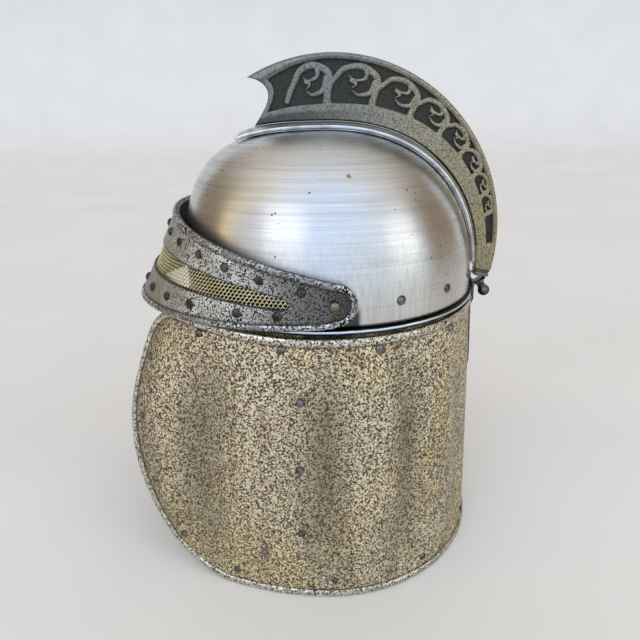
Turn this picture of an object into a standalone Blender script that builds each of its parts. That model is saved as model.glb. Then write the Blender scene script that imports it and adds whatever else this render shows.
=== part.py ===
"""Knight's helmet with a cast crest, a lifting visor with a mesh screen, and a fluted curtain.

Metres, +Z up. The wearer faces -Y, and the wearer's left is +X. Pieces are laid out about the
skull's centre line, and a turn is measured about that line from the front (0) through the wearer's
left (90 degrees) to the back (180 degrees). The assembly is then set back by CENTRE_SHIFT, so that
it stands on z = 0 with its bounding box centred on the origin.
"""

from math import asin, cos, hypot, pi, radians, sin, sqrt

import bmesh
import bpy
from mathutils import Matrix, Vector

GAP = 0.0003  # clearance between parts that touch
CENTRE_SHIFT = 0.0075
SIDES = {"left": 1, "right": -1}

# Skull: a dome on an oval base, squarer in front than at the back
BASE_Z = 0.224
SKULL_SIDE = 0.102
SKULL_FRONT = 0.1096
SKULL_BACK = 0.1144
SKULL_HEIGHT = 0.115
SIDE_POWER = 2.1
FRONT_POWER = 3.2
BACK_POWER = 2.3
SKULL_THICKNESS = 0.0012

# Collar ring, inside the skull's lower edge
COLLAR_LAP = 0.020
COLLAR_DROP = 0.0036
COLLAR_FLANGE = 0.0040
COLLAR_THICKNESS = 0.0012
COLLAR_CHAMFER = 0.0004
COLLAR_SLOPE = 0.0012
COLLAR_TOP_GAP = 0.0009  # between the flange's top and the skull's lower edge

# Crest rail and crest
RAIL_HALF_WIDTH = 0.0138
RAIL_HEIGHT = 0.0052
RAIL_LIFT = 0.0006  # keeps the rail's flat facets clear of the skull's
RAIL_EDGE = 0.0016
RAIL_SHOULDER = 0.0030
RAIL_FRONT = radians(65.5)
RAIL_BACK = radians(171.5)
RAIL_TIP = radians(5.5)
CREST_CENTRE_Y = 0.0048
CREST_CENTRE_Z = BASE_Z + 0.030
CREST_LENGTH = 0.1293
CREST_HEIGHT = 0.1343
CREST_HALF_WIDTH = 0.0062
CREST_TIP = radians(117.0)
CREST_TAIL = radians(-9.4)
CREST_FOOT_FRONT = radians(66.8)
CREST_FOOT_BACK = radians(175.2)
CREST_NOTCH = 0.0135
NOTCH_SKEW = 0.62

# Finial under the crest's tail, with the socket above it
SOCKET_HEIGHT = 0.0058
SOCKET_WIDTH = 0.0100
SOCKET_DEPTH = 0.0124
FINIAL_TILT = radians(40.0)
FINIAL_FLARE = 0.0058
FINIAL_NECK = 0.0031
FINIAL_BALL = 0.0047
FINIAL_DROP = 0.0108

# Curtain
RIM_Z = BASE_Z - 0.0060
RIM_SIDE = 0.1052
RIM_BACK = 0.1146
RIM_FRONT = 0.1400
RIM_RISE = 0.0049  # the rim climbs by this much towards the face
RISE_START = radians(88.0)
RISE_END = radians(40.0)
HEM_SIDE = 0.1174
HEM_BACK = 0.1290
HEM_FRONT = 0.1761
FRONT_SWELL = 0.0387
SWELL_POWER = 1.98
CURTAIN_THICKNESS = 0.0016
MIDDLE_COLUMNS = 72  # of the curtain, between its corners
CURTAIN_EDGE_TURN = radians(30.5)
CURTAIN_SPREAD = radians(21.9)  # the front edges stand this much wider apart at the hem than at the rim
RIM_CORNER = 0.0236
HEM_CORNER = 0.0336
FLUTE_DEPTH = 0.0032
FLUTE_PERIOD = radians(30.0)
FLUTE_FADE = 6  # a higher power keeps the flutes deep nearer to the rim and the hem
FLUTE_RIDGE = radians(77.0)
BINDING_HALF_WIDTH = 0.0036
BINDING_HALF_THICKNESS = 0.0025
CURTAIN_EDGE_GAP = 0.0010  # room for the slant of the surface at the rounded corners

# Visor
VISOR_SIDE = 0.1068
VISOR_FRONT = 0.1465
VISOR_BACK = 0.1120
VISOR_LEAN = 0.55
VISOR_TOP = 0.0655
VISOR_DROP = 0.0070  # how far the lower edge sags at the front
VISOR_THICKNESS = 0.0014
VISOR_ROLL = 0.0023
PIVOT_Y = 0.0100
PIVOT_Z = BASE_Z + 0.0170
VISOR_END_RADIUS = 0.0144
WINDOW_TURN = radians(82.4)
WINDOW_ROUND_TURN = radians(79.4)  # the window's end is round from here on
WINDOW_TOP = 0.0395
WINDOW_BOTTOM = 0.0210
WINDOW_END_TOP = 0.0206
WINDOW_END_BOTTOM = 0.0128
WINDOW_POWER = 2.2
SCREEN_MARGIN = 0.0040
SCREEN_THICKNESS = 0.0008
WINDOW_CUT_MARGIN = 0.0002

# Visor pivots
PIN_RADIUS = 0.0020
PIN_END = 0.0008  # how far the pin stands out of the nut
PIN_HEAD_RADIUS = 0.0033
PIN_HEAD_HEIGHT = 0.0024
PIN_HOLE_LENGTH = 0.030
SPACER_RADIUS = 0.0055
NUT_RADIUS = 0.0042
NUT_THICKNESS = 0.0030
NUT_GAP = 0.0012  # clears the collar's curve

# Straps, liner and rivets
STAY_TURN = radians(85.5)
STAY_HALF_TURN = radians(4.6)
STAY_CLEARANCE = 0.0009  # keeps the stay's flat facets clear of the curtain's
STAY_TOP = BASE_Z - 0.016
STAY_BOTTOM = 0.020
STAY_RIVET_Z = (BASE_Z - 0.052, BASE_Z - 0.106, BASE_Z - 0.162)
STRAP_HALF_WIDTH = 0.0125
STRAP_THICKNESS = 0.0018
STRAP_TOP = BASE_Z + 0.0005
STRAP_BOTTOM = BASE_Z - 0.078
STRAP_STEP = 0.0065
STRAP_END_WIDTH = 0.12
STRAP_END_TAPER = 4.0  # the lower end is round over one part in this many of the length
STRAP_RIVET_Z = (BASE_Z - 0.0250, BASE_Z - 0.041, BASE_Z - 0.060)
SKULL_RIVET_TURNS = (radians(117.6), radians(139.3), radians(161.0))
SKULL_RIVET_Z = BASE_Z + 0.0145
HEADBAND_INSET = 0.0085
HEADBAND_THICKNESS = 0.0022
HEADBAND_BOTTOM = 0.0040
HEADBAND_TOP = 0.0380
PAD_TURN = radians(48.0)
PAD_THICKNESS = 0.0080
PAD_CLEARANCE = 0.0010  # keeps the pad's flat facets clear of the skull's
RIVET_RADIUS = 0.0034
RIVET_HEIGHT = 0.0021

MATERIALS = {
    "brushed_pewter": ((0.52, 0.50, 0.47), 0.32, 1.0),
    "polished_steel": ((0.72, 0.73, 0.75), 0.16, 1.0),
    "cast_pewter": ((0.26, 0.25, 0.20), 0.55, 0.9),
    "vein_bronze": ((0.36, 0.30, 0.21), 0.48, 0.85),
    "edge_steel": ((0.34, 0.32, 0.28), 0.38, 0.95),
    "gunmetal": ((0.20, 0.19, 0.18), 0.42, 0.95),
    "brass_mesh": ((0.78, 0.70, 0.42), 0.35, 1.0),
    "rivet_bronze": ((0.11, 0.095, 0.10), 0.33, 0.95),
    "liner_leather": ((0.13, 0.075, 0.045), 0.75, 0.0),
    "liner_felt": ((0.16, 0.15, 0.14), 0.95, 0.0),
}


# ---------------------------------------------------------------- scene and helpers


def clear_scene():
    for obj in list(bpy.data.objects):
        bpy.data.objects.remove(obj, do_unlink=True)


def new_collection(name, hidden):
    collection = bpy.data.collections.new(name)
    bpy.context.scene.collection.children.link(collection)
    collection.hide_render = hidden
    return collection


def make_material(name):
    colour, roughness, metallic = MATERIALS[name]
    material = bpy.data.materials.new(name)
    material.use_nodes = True
    shader = material.node_tree.nodes["Principled BSDF"]
    shader.inputs["Base Color"].default_value = (*colour, 1.0)
    shader.inputs["Roughness"].default_value = roughness
    shader.inputs["Metallic"].default_value = metallic
    material.diffuse_color = (*colour, 1.0)
    return material


def add_object(name, data, material_name):
    """Links an object for this data to the helmet's collection, in that material."""
    obj = bpy.data.objects.new(name, data)
    HELMET.objects.link(obj)
    data.materials.append(PAINT[material_name])
    return obj


def smooth(mesh):
    for face in mesh.polygons:
        face.use_smooth = True


def grid_mesh(name, rows, around=False, closed=False):
    """A mesh through rows of points.

    around joins each row's ends, and closed joins the last row to the first. With rows going up
    and points going from the front towards the wearer's left, it faces outward.
    """
    mesh = bpy.data.meshes.new(name)
    shape = bmesh.new()
    grid = [[shape.verts.new(point) for point in row] for row in rows]
    row_pairs = list(zip(grid, grid[1:] + grid[:1]))
    if not closed:
        row_pairs.pop()
    for low, high in row_pairs:
        for left in range(len(low) if around else len(low) - 1):
            right = (left + 1) % len(low)
            shape.faces.new((low[left], low[right], high[right], high[left]))
    bmesh.ops.remove_doubles(shape, verts=shape.verts, dist=1e-6)
    if around and closed:
        bmesh.ops.recalc_face_normals(shape, faces=shape.faces)
    shape.to_mesh(mesh)
    shape.free()
    smooth(mesh)
    return mesh


def thicken(obj, thickness, side):
    """Solidify. side is -1 to grow inward from the surface, 0 for both ways and 1 for outward."""
    solid = obj.modifiers.new("Thickness", "SOLIDIFY")
    solid.thickness = thickness
    solid.offset = side
    solid.use_even_offset = True


def sheet(name, rows, thickness, side, material_name, around=False):
    obj = add_object(name, grid_mesh(name, rows, around), material_name)
    thicken(obj, thickness, side)
    return obj


def turned(name, profile, place, axis, material_name, steps=20):
    """A turned solid: profile is (radius, height) from the top down, with height along the axis."""
    mesh = bpy.data.meshes.new(name)
    points = [(radius, 0, height) for radius, height in profile]
    mesh.from_pydata(points, [(i, i + 1) for i in range(len(points) - 1)], [])
    obj = add_object(name, mesh, material_name)
    screw = obj.modifiers.new("Turn", "SCREW")
    screw.steps = steps
    screw.render_steps = steps
    screw.use_merge_vertices = True
    screw.merge_threshold = 1e-5
    screw.use_smooth_shade = True
    obj.rotation_mode = "QUATERNION"
    obj.rotation_quaternion = Vector(axis).to_track_quat("Z", "Y")
    obj.location = place
    return obj


def cut(obj, cutter):
    """Takes the cutter, a mesh object, out of obj."""
    HELMET.objects.unlink(cutter)
    CUTTERS.objects.link(cutter)
    cutter.hide_render = True
    cutter.display_type = "WIRE"
    hole = obj.modifiers.new("Cut", "BOOLEAN")
    hole.operation = "DIFFERENCE"
    hole.solver = "EXACT"
    hole.object = cutter


def blend(start, end, share):
    return start + (end - start) * share


# ---------------------------------------------------------------- shapes that parts share


def skull_half_widths(height):
    """(side, front, back) half widths of the skull's oval at this height over its base."""
    level = min(max(height / SKULL_HEIGHT, 0.0), 1.0)
    return tuple(
        width * (1 - level**power) ** (1 / power)
        for width, power in (
            (SKULL_SIDE, SIDE_POWER),
            (SKULL_FRONT, FRONT_POWER),
            (SKULL_BACK, BACK_POWER),
        )
    )


def oval(turn, side, front, back):
    """A point on an oval about the centre line, at this turn."""
    along = front if cos(turn) > 0 else back
    return Vector((side * sin(turn), -along * cos(turn), 0))


def skull_point(turn, height):
    return oval(turn, *skull_half_widths(height)) + Vector((0, 0, BASE_Z + height))


def inside_skull(point):
    """True where a point lies within the skull's outer surface."""
    height = point.z - BASE_Z
    if height >= SKULL_HEIGHT:
        return False
    side, front, back = skull_half_widths(height)
    return (point.x / side) ** 2 + (point.y / (front if point.y < 0 else back)) ** 2 < 1


def skull_along(direction):
    """The skull's surface in this direction from the centre of its base."""
    centre = Vector((0, 0, BASE_Z))
    near, far = 0.0, 2 * SKULL_HEIGHT
    for _ in range(30):
        middle = (near + far) / 2
        if inside_skull(centre + direction * middle):
            near = middle
        else:
            far = middle
    return centre + direction * near


def midline_direction(sweep, lateral=0.0):
    """Directions over the skull from the front (sweep 0) over the top to the back (180 degrees)."""
    return Vector((lateral, -cos(sweep), sin(sweep))).normalized()


def curtain_point(turn, z, outward=0.0):
    """A point on the curtain's middle surface, or that far out from it."""
    drop = min(max((RIM_Z - z) / RIM_Z, 0.0), 1.0)
    swell = (1 - abs(2 * drop - 1) ** SWELL_POWER) * FRONT_SWELL
    side = blend(RIM_SIDE, HEM_SIDE, drop)
    front = blend(RIM_FRONT, HEM_FRONT, drop) + swell
    back = blend(RIM_BACK, HEM_BACK, drop)
    point = oval(turn, side, front, back)
    normal = Vector((point.x / side**2, point.y / (front if point.y < 0 else back) ** 2, 0)).normalized()
    from_front = abs((turn + pi) % (2 * pi) - pi)
    strength = (1 - cos(pi * drop) ** FLUTE_FADE) * min(1.0, (pi - from_front) / FLUTE_PERIOD / 2)
    valley = (1 - cos(2 * pi * (from_front - FLUTE_RIDGE) / FLUTE_PERIOD)) / 2
    flute = FLUTE_DEPTH * strength * (1 - 2 * valley**2)
    return point + normal * (outward + flute) + Vector((0, 0, z))


def visor_point(turn, height, outward=0.0):
    """A point on the visor's middle surface at this height over the skull's base."""
    front = VISOR_FRONT - VISOR_LEAN * height
    point = oval(turn, VISOR_SIDE, front, VISOR_BACK)
    along = front if point.y < 0 else VISOR_BACK
    normal = Vector((point.x / VISOR_SIDE**2, point.y / along**2, 0)).normalized()
    return point + normal * outward + Vector((0, 0, BASE_Z + height))


def outward_of(surface, turn, height):
    """The outward normal of a surface function of (turn, height)."""
    step = 1e-4
    here = surface(turn, height)
    across = surface(turn + step, height) - here
    up = surface(turn, height + step) - here
    return across.cross(up).normalized()


# ---------------------------------------------------------------- skull, collar and liner


def oval_turns(count):
    return [2 * pi * step / count for step in range(count)]


def make_skull():
    lifts = [radians(90.0 * step / 12) for step in range(13)]
    rows = [[skull_point(turn, SKULL_HEIGHT * sin(lift)) for turn in oval_turns(48)] for lift in lifts]
    skull = sheet("skull", rows, SKULL_THICKNESS, -1, "brushed_pewter", around=True)
    for side, sign in SIDES.items():
        cut(skull, pin_hole("skull_pin_hole_" + side, sign))


def pin_hole(name, sign):
    """A cutter through the side of the helmet on the visor's pivot axis."""
    shape = bmesh.new()
    bmesh.ops.create_cone(
        shape,
        cap_ends=True,
        segments=20,
        radius1=PIN_RADIUS + GAP,
        radius2=PIN_RADIUS + GAP,
        depth=PIN_HOLE_LENGTH,
        matrix=Matrix.Rotation(pi / 2, 4, "Y"),
    )
    mesh = bpy.data.meshes.new(name)
    shape.to_mesh(mesh)
    shape.free()
    cutter = add_object(name, mesh, "rivet_bronze")
    cutter.location = (sign * VISOR_SIDE, PIVOT_Y, PIVOT_Z)
    return cutter


def collar_section():
    """(outward from the skull's base oval, height over the base) round the collar's closed section."""
    leg_outer = -SKULL_THICKNESS - GAP
    leg_inner = leg_outer - COLLAR_THICKNESS
    foot = -COLLAR_DROP - COLLAR_THICKNESS
    flange = leg_outer + COLLAR_FLANGE
    return [
        (leg_outer, COLLAR_LAP),
        (leg_inner, COLLAR_LAP),
        (leg_inner, foot),
        (flange - COLLAR_CHAMFER, foot),
        (flange, foot + COLLAR_CHAMFER),
        (flange, -COLLAR_DROP + 2 * COLLAR_CHAMFER),
        (flange - COLLAR_SLOPE, -COLLAR_TOP_GAP),
        (leg_outer, -COLLAR_TOP_GAP),
    ]


def make_collar():
    """A ring inside the skull's lower edge, with a rounded flange that shows below it."""
    rings = []
    for turn in oval_turns(48):
        ring = []
        for outward, height in collar_section():
            side, front, back = skull_half_widths(max(height, 0.0))
            grown = oval(turn, side + outward, front + outward, back + outward)
            ring.append(grown + Vector((0, 0, BASE_Z + height)))
        rings.append(ring)
    mesh = grid_mesh("collar_ring", rings, around=True, closed=True)
    collar = add_object("collar_ring", mesh, "polished_steel")
    for side, sign in SIDES.items():
        cut(collar, pin_hole("collar_pin_hole_" + side, sign))


def make_headband():
    """A leather band inside the skull, clear of the collar."""
    rows = []
    for step in range(4):
        height = blend(HEADBAND_BOTTOM, HEADBAND_TOP, step / 3)
        side, front, back = (width - HEADBAND_INSET for width in skull_half_widths(height))
        lift = Vector((0, 0, BASE_Z + height))
        rows.append([oval(turn, side, front, back) + lift for turn in oval_turns(40)])
    sheet("headband", rows, HEADBAND_THICKNESS, -1, "liner_leather", around=True)


def make_crown_pad():
    """A felt pad under the crown of the skull."""
    clearance = SKULL_THICKNESS + PAD_CLEARANCE
    rows = []
    for step in range(6):
        lean = blend(PAD_TURN, 0.0, step / 5)
        row = []
        for turn in oval_turns(24):
            direction = Vector((sin(lean) * sin(turn), -sin(lean) * cos(turn), cos(lean)))
            row.append(skull_along(direction) - direction * clearance)
        rows.append(row)
    sheet("crown_pad", rows, PAD_THICKNESS, -1, "liner_felt", around=True)


# ---------------------------------------------------------------- crest


def rail_section():
    """(share of the half width, height over the skull) round the rail's closed section."""
    return [
        (-1.0, RAIL_LIFT),
        (-0.5, RAIL_LIFT),
        (0.0, RAIL_LIFT),
        (0.5, RAIL_LIFT),
        (1.0, RAIL_LIFT),
        (1.0, RAIL_EDGE),
        (0.86, RAIL_SHOULDER),
        (0.50, RAIL_HEIGHT),
        (-0.50, RAIL_HEIGHT),
        (-0.86, RAIL_SHOULDER),
        (-1.0, RAIL_EDGE),
    ]


def make_rail():
    """The saddle strip over the skull, with a forked front end."""
    stations = 30
    rings = []
    for step in range(stations + 1):
        ring = []
        for share, height in rail_section():
            start = RAIL_FRONT - RAIL_TIP * abs(share)
            sweep = blend(start, RAIL_BACK, step / stations)
            lateral = share * RAIL_HALF_WIDTH / SKULL_HEIGHT
            direction = midline_direction(sweep, lateral)
            ring.append(skull_along(direction) + direction * height)
        rings.append(ring)
    mesh = grid_mesh("crest_rail", rings, around=True)
    cap_ends(mesh)
    add_object("crest_rail", mesh, "polished_steel")


def cap_ends(mesh):
    """Closes the open ends of a swept section and faces it outward."""
    shape = bmesh.new()
    shape.from_mesh(mesh)
    bmesh.ops.holes_fill(shape, edges=[edge for edge in shape.edges if edge.is_boundary])
    bmesh.ops.triangulate(shape, faces=[face for face in shape.faces if len(face.verts) > 4])
    bmesh.ops.recalc_face_normals(shape, faces=shape.faces)
    shape.to_mesh(mesh)
    shape.free()


def crest_rim(angle):
    """(y, z) on the crest's outer edge; the angle goes from the back (0) over the top."""
    return CREST_CENTRE_Y + CREST_LENGTH * cos(angle), CREST_CENTRE_Z + CREST_HEIGHT * sin(angle)


def crest_foot(sweep):
    """(y, z) along the crest's foot, just over the rail."""
    direction = midline_direction(sweep)
    point = skull_along(direction) + direction * (RAIL_HEIGHT + GAP)
    return point.y, point.z


def crest_outline():
    """The crest from its tail over the rim to the tip, down the swallow-tail and back along the foot."""
    rim = [crest_rim(blend(CREST_TAIL, CREST_TIP, step / 36)) for step in range(37)]
    foot = [crest_foot(blend(CREST_FOOT_FRONT, CREST_FOOT_BACK, step / 36)) for step in range(37)]
    tip = Vector(rim[-1])
    heel = Vector(foot[0])
    notch = []
    for step in range(1, 10):
        share = step / 10
        point = tip.lerp(heel, share) + Vector((CREST_NOTCH * sin(pi * share**NOTCH_SKEW), 0))
        notch.append(tuple(point))
    return rim + notch + foot


def make_crest():
    outline = crest_outline()
    curve = bpy.data.curves.new("crest_casting", "CURVE")
    curve.dimensions = "2D"
    curve.fill_mode = "BOTH"
    curve.extrude = CREST_HALF_WIDTH
    spline = curve.splines.new("POLY")
    spline.points.add(len(outline) - 1)
    for point, (y, z) in zip(spline.points, outline):
        point.co = (y, z, 0, 1)
    spline.use_cyclic_u = True
    crest = add_object("crest_casting", curve, "cast_pewter")
    crest.rotation_euler = (pi / 2, 0, pi / 2)


def tail_frame():
    """The middle of the crest's tail end, and the direction that the crest runs on in there."""
    rim = Vector(crest_rim(CREST_TAIL))
    foot = Vector(crest_foot(CREST_FOOT_BACK))
    middle = (rim + foot) / 2
    along = (rim - foot).normalized()
    return Vector((0, middle.x, middle.y)), Vector((0, along.y, -along.x))


def make_socket():
    place, down = tail_frame()
    shape = bmesh.new()
    bmesh.ops.create_cube(shape, size=1.0)
    bmesh.ops.scale(shape, vec=(SOCKET_WIDTH, SOCKET_DEPTH, SOCKET_HEIGHT), verts=shape.verts)
    mesh = bpy.data.meshes.new("crest_socket")
    shape.to_mesh(mesh)
    shape.free()
    socket = add_object("crest_socket", mesh, "gunmetal")
    socket.location = place + down * (GAP + SOCKET_HEIGHT / 2)
    socket.rotation_euler = (asin(down.y), 0, 0)


def finial_profile():
    """(radius, distance along) of the finial: a flared neck and a ball."""
    start = asin(FINIAL_NECK / FINIAL_BALL)
    angles = [blend(start, pi, step / 7) for step in range(7)]
    ball = [(FINIAL_BALL * sin(angle), FINIAL_DROP - FINIAL_BALL * cos(angle)) for angle in angles]
    neck = [(0, 0), (FINIAL_FLARE, 0), (FINIAL_FLARE, FINIAL_NECK / 2), (FINIAL_NECK, FINIAL_FLARE)]
    return neck + ball + [(0, FINIAL_DROP + FINIAL_BALL)]


def make_finial():
    """A ball-headed screw under the socket, leaning backward."""
    place, down = tail_frame()
    clearance = SOCKET_HEIGHT + 2 * GAP + FINIAL_FLARE * sin(FINIAL_TILT)
    away = Matrix.Rotation(FINIAL_TILT, 3, "X") @ down
    profile = [(radius, -along) for radius, along in finial_profile()]
    turned("crest_finial", profile, place + down * clearance, -away, "rivet_bronze", steps=16)


# ---------------------------------------------------------------- curtain


def rim_height(turn):
    """The height of the curtain's rim above the plane it stands on."""
    from_front = min(turn, 2 * pi - turn)
    share = min(max((RISE_START - from_front) / (RISE_START - RISE_END), 0.0), 1.0)
    return RIM_Z + RIM_RISE * share * share * (3 - 2 * share)


def corner_lift(radius, along):
    """How far a rounded corner rises off its level edge, this far along from its upright edge."""
    share = min(along / radius, 1.0)
    return radius * (1 - sqrt(1 - (1 - share) ** 2))


def curtain_columns(inset):
    """(turn at the rim, bottom z, top z) of the curtain's columns, this far inside its outer edge."""
    turn_per_length = 1 / hypot(RIM_SIDE * cos(CURTAIN_EDGE_TURN), RIM_FRONT * sin(CURTAIN_EDGE_TURN))
    edge_turn = CURTAIN_EDGE_TURN + inset * turn_per_length
    hem_corner = HEM_CORNER - inset
    rim_corner = RIM_CORNER - inset
    columns = []
    for step in range(7):
        along = hem_corner * (1 - cos(radians(90 * step / 7)))
        turn = edge_turn + along * turn_per_length
        low = inset + corner_lift(hem_corner, along)
        high = rim_height(turn) - inset - corner_lift(rim_corner, along)
        columns.append((turn, low, high))
    start = edge_turn + hem_corner * turn_per_length
    middle = []
    for step in range(MIDDLE_COLUMNS + 1):
        turn = blend(start, 2 * pi - start, step / MIDDLE_COLUMNS)
        middle.append((turn, inset, rim_height(turn) - inset))
    mirrored = [(2 * pi - turn, low, high) for turn, low, high in reversed(columns)]
    return columns + middle + mirrored


def curtain_sheet_point(turn, z):
    """The curtain's point for a column's turn at the rim: the columns spread backwards towards the hem."""
    from_front = min(turn, 2 * pi - turn)
    spread = CURTAIN_SPREAD * (RIM_Z - z) / RIM_Z * (pi - from_front) / (pi - CURTAIN_EDGE_TURN)
    return curtain_point(turn + (spread if turn < pi else -spread), z)


def make_curtain():
    columns = curtain_columns(2 * BINDING_HALF_WIDTH + CURTAIN_EDGE_GAP)
    rows = []
    for step in range(14):
        share = step / 13
        rows.append([curtain_sheet_point(turn, blend(low, high, share)) for turn, low, high in columns])
    sheet("curtain", rows, CURTAIN_THICKNESS, 0, "vein_bronze")


def edge_roll(name, loop, half_width, half_thickness, material_name):
    """A closed eight-sided roll along (point, outward) pairs, with a level flat below where it runs level."""
    rings = []
    for index, (point, outward) in enumerate(loop):
        ahead = loop[(index + 1) % len(loop)][0] - loop[index - 1][0]
        ahead.normalize()
        outward = Vector((outward.x, outward.y, outward.z * abs(ahead.z)))
        thickness = (outward - ahead * outward.dot(ahead)).normalized()
        width = ahead.cross(thickness)
        ring = []
        for corner in range(8):
            angle = (corner + 0.5) * pi / 4
            offset = thickness * cos(angle) * half_thickness + width * sin(angle) * half_width
            ring.append(point + offset / cos(pi / 8))
        rings.append(ring)
    return add_object(name, grid_mesh(name, rings, around=True, closed=True), material_name)


def outline_loop(columns, surface, side_steps):
    """(point, outward normal) once round the edge of a sheet given by its columns."""
    bottom = [(turn, low) for turn, low, high in columns]
    top = [(turn, high) for turn, low, high in reversed(columns)]
    far_turn, far_low, far_high = columns[-1]
    near_turn, near_low, near_high = columns[0]
    far = [(far_turn, blend(far_low, far_high, step / side_steps)) for step in range(1, side_steps)]
    near = [(near_turn, blend(near_high, near_low, step / side_steps)) for step in range(1, side_steps)]
    loop = []
    for turn, z in bottom + far + top + near:
        loop.append((surface(turn, z), outward_of(surface, turn, z)))
    return loop


def make_curtain_binding():
    loop = outline_loop(curtain_columns(BINDING_HALF_WIDTH), curtain_sheet_point, 9)
    edge_roll("curtain_binding", loop, BINDING_HALF_WIDTH, BINDING_HALF_THICKNESS, "edge_steel")


def make_stays():
    """A strap inside the curtain on each side, with its rivets outside."""
    inward = CURTAIN_THICKNESS / 2 + STAY_CLEARANCE
    for side, sign in SIDES.items():
        rows = []
        for step in range(13):
            z = blend(STAY_BOTTOM, STAY_TOP, step / 12)
            turns = [sign * STAY_TURN + blend(-STAY_HALF_TURN, STAY_HALF_TURN, part / 4) for part in range(5)]
            rows.append([curtain_point(turn, z, -inward) for turn in turns])
        sheet("side_stay_" + side, rows, STRAP_THICKNESS, -1, "gunmetal")
        for number, z in enumerate(STAY_RIVET_Z, 1):
            rivet(f"stay_rivet_{side}_{number}", curtain_point, sign * STAY_TURN, z, CURTAIN_THICKNESS / 2)


def rivet(name, surface, turn, z, lift):
    """A domed rivet head standing on a surface, lift above it."""
    normal = outward_of(surface, turn, z)
    arc = [radians(90 * step / 4) for step in range(5)]
    profile = [(RIVET_RADIUS * sin(angle), RIVET_HEIGHT * cos(angle)) for angle in arc]
    place = surface(turn, z) + normal * (lift + GAP)
    turned(name, profile + [(0, 0)], place, normal, "rivet_bronze", steps=12)


def make_rear_strap():
    """The strap down the back midline, over the curtain's binding, with three rivets."""
    half_turn = asin(STRAP_HALF_WIDTH / RIM_SIDE)
    rows = []
    for step in range(19):
        share = step / 18
        z = blend(STRAP_BOTTOM, STRAP_TOP, share)
        narrowing = sqrt(1 - (1 - min(1.0, STRAP_END_WIDTH + share * STRAP_END_TAPER)) ** 2)
        turns = [pi + half_turn * narrowing * (part / 3 - 1) for part in range(7)]
        rows.append([curtain_point(turn, z, strap_outward(z)) for turn in turns])
    sheet("rear_strap", rows, STRAP_THICKNESS, 1, "gunmetal")
    for number, z in enumerate(STRAP_RIVET_Z, 1):
        rivet(f"strap_rivet_{number}", curtain_point, pi, z, strap_outward(z) + STRAP_THICKNESS)


def strap_outward(z):
    """How far the strap's inner face stands off the curtain's middle: it steps out over the binding."""
    below_binding = RIM_Z - 2 * BINDING_HALF_WIDTH - z
    share = min(max(1 - below_binding / STRAP_STEP, 0.0), 1.0)
    rise = share * share * (3 - 2 * share)
    flat = CURTAIN_THICKNESS / 2 + GAP
    return blend(flat, BINDING_HALF_THICKNESS / cos(pi / 8) + GAP, rise)


def make_skull_rivets():
    def surface(turn, z):
        return skull_point(turn, z - BASE_Z)

    for side, sign in SIDES.items():
        for number, turn in enumerate(SKULL_RIVET_TURNS, 1):
            rivet(f"skull_rivet_{side}_{number}", surface, sign * turn, SKULL_RIVET_Z, 0.0)


# ---------------------------------------------------------------- visor


def visor_columns(inset):
    """(turn, low, high) heights over the skull's base of the visor's columns, this far inside its edge."""
    radius = VISOR_END_RADIUS - inset
    pivot_height = PIVOT_Z - BASE_Z
    last_turn = pi / 2 + asin(PIVOT_Y / VISOR_BACK)
    half = []
    for step in range(19):
        turn = last_turn * step / 18
        share = max(cos(turn / last_turn * pi / 2), 0.0)
        rise = (VISOR_TOP - pivot_height - VISOR_END_RADIUS) * share
        drop = VISOR_DROP * sqrt(share)
        half.append((turn, pivot_height - radius - drop, pivot_height + radius + rise))
    for step in range(1, 6):
        angle = radians(90 * step / 6)
        turn = pi / 2 + asin((PIVOT_Y + radius * sin(angle)) / VISOR_BACK)
        half.append((turn, pivot_height - radius * cos(angle), pivot_height + radius * cos(angle)))
    return [(-turn, low, high) for turn, low, high in reversed(half[1:])] + half


def window_span(turn, margin):
    """(low, high) of the window at this turn, grown by the margin."""
    share = min(abs(turn) / WINDOW_TURN, 1.0)
    low = blend(WINDOW_BOTTOM, WINDOW_END_BOTTOM, share**WINDOW_POWER)
    high = blend(WINDOW_TOP, WINDOW_END_TOP, share**WINDOW_POWER)
    past = min(max((abs(turn) - WINDOW_ROUND_TURN) / (WINDOW_TURN - WINDOW_ROUND_TURN), 0.0), 1.0)
    half = (high - low) / 2 * sqrt(1 - past**2) + margin
    middle = (low + high) / 2
    return middle - half, middle + half


def window_rows(margin, outward, end_turn=0.0):
    """Rows over the window's patch, grown by the margin and shifted that far out."""
    reach = WINDOW_TURN + end_turn
    rows = []
    for step in range(4):
        row = []
        for part in range(41):
            turn = -reach * cos(pi * part / 40)
            low, high = window_span(turn, margin)
            row.append(visor_point(turn, blend(low, high, step / 3), outward))
        rows.append(row)
    return rows


def make_visor_plate():
    columns = visor_columns(2 * VISOR_ROLL + GAP)
    rows = []
    for step in range(6):
        rows.append([visor_point(turn, blend(low, high, step / 5)) for turn, low, high in columns])
    plate = sheet("visor_plate", rows, VISOR_THICKNESS, 0, "gunmetal")
    cut_rows = window_rows(WINDOW_CUT_MARGIN, 0.0)
    window = sheet("visor_window_cut", cut_rows, 4 * VISOR_THICKNESS, 0, "gunmetal")
    cut(plate, window)
    for side, sign in SIDES.items():
        cut(plate, pin_hole("plate_pin_hole_" + side, sign))
    return plate


def make_visor_binding():
    """A round wire roll along the visor's edge."""
    loop = outline_loop(visor_columns(VISOR_ROLL), visor_point, 4)
    curve = bpy.data.curves.new("visor_binding", "CURVE")
    curve.dimensions = "3D"
    curve.bevel_depth = VISOR_ROLL
    curve.bevel_resolution = 1
    spline = curve.splines.new("POLY")
    spline.points.add(len(loop) - 1)
    for point, (place, _) in zip(spline.points, loop):
        point.co = (*place, 1)
    spline.use_cyclic_u = True
    spline.use_smooth = True
    return add_object("visor_binding", curve, "edge_steel")


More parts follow.
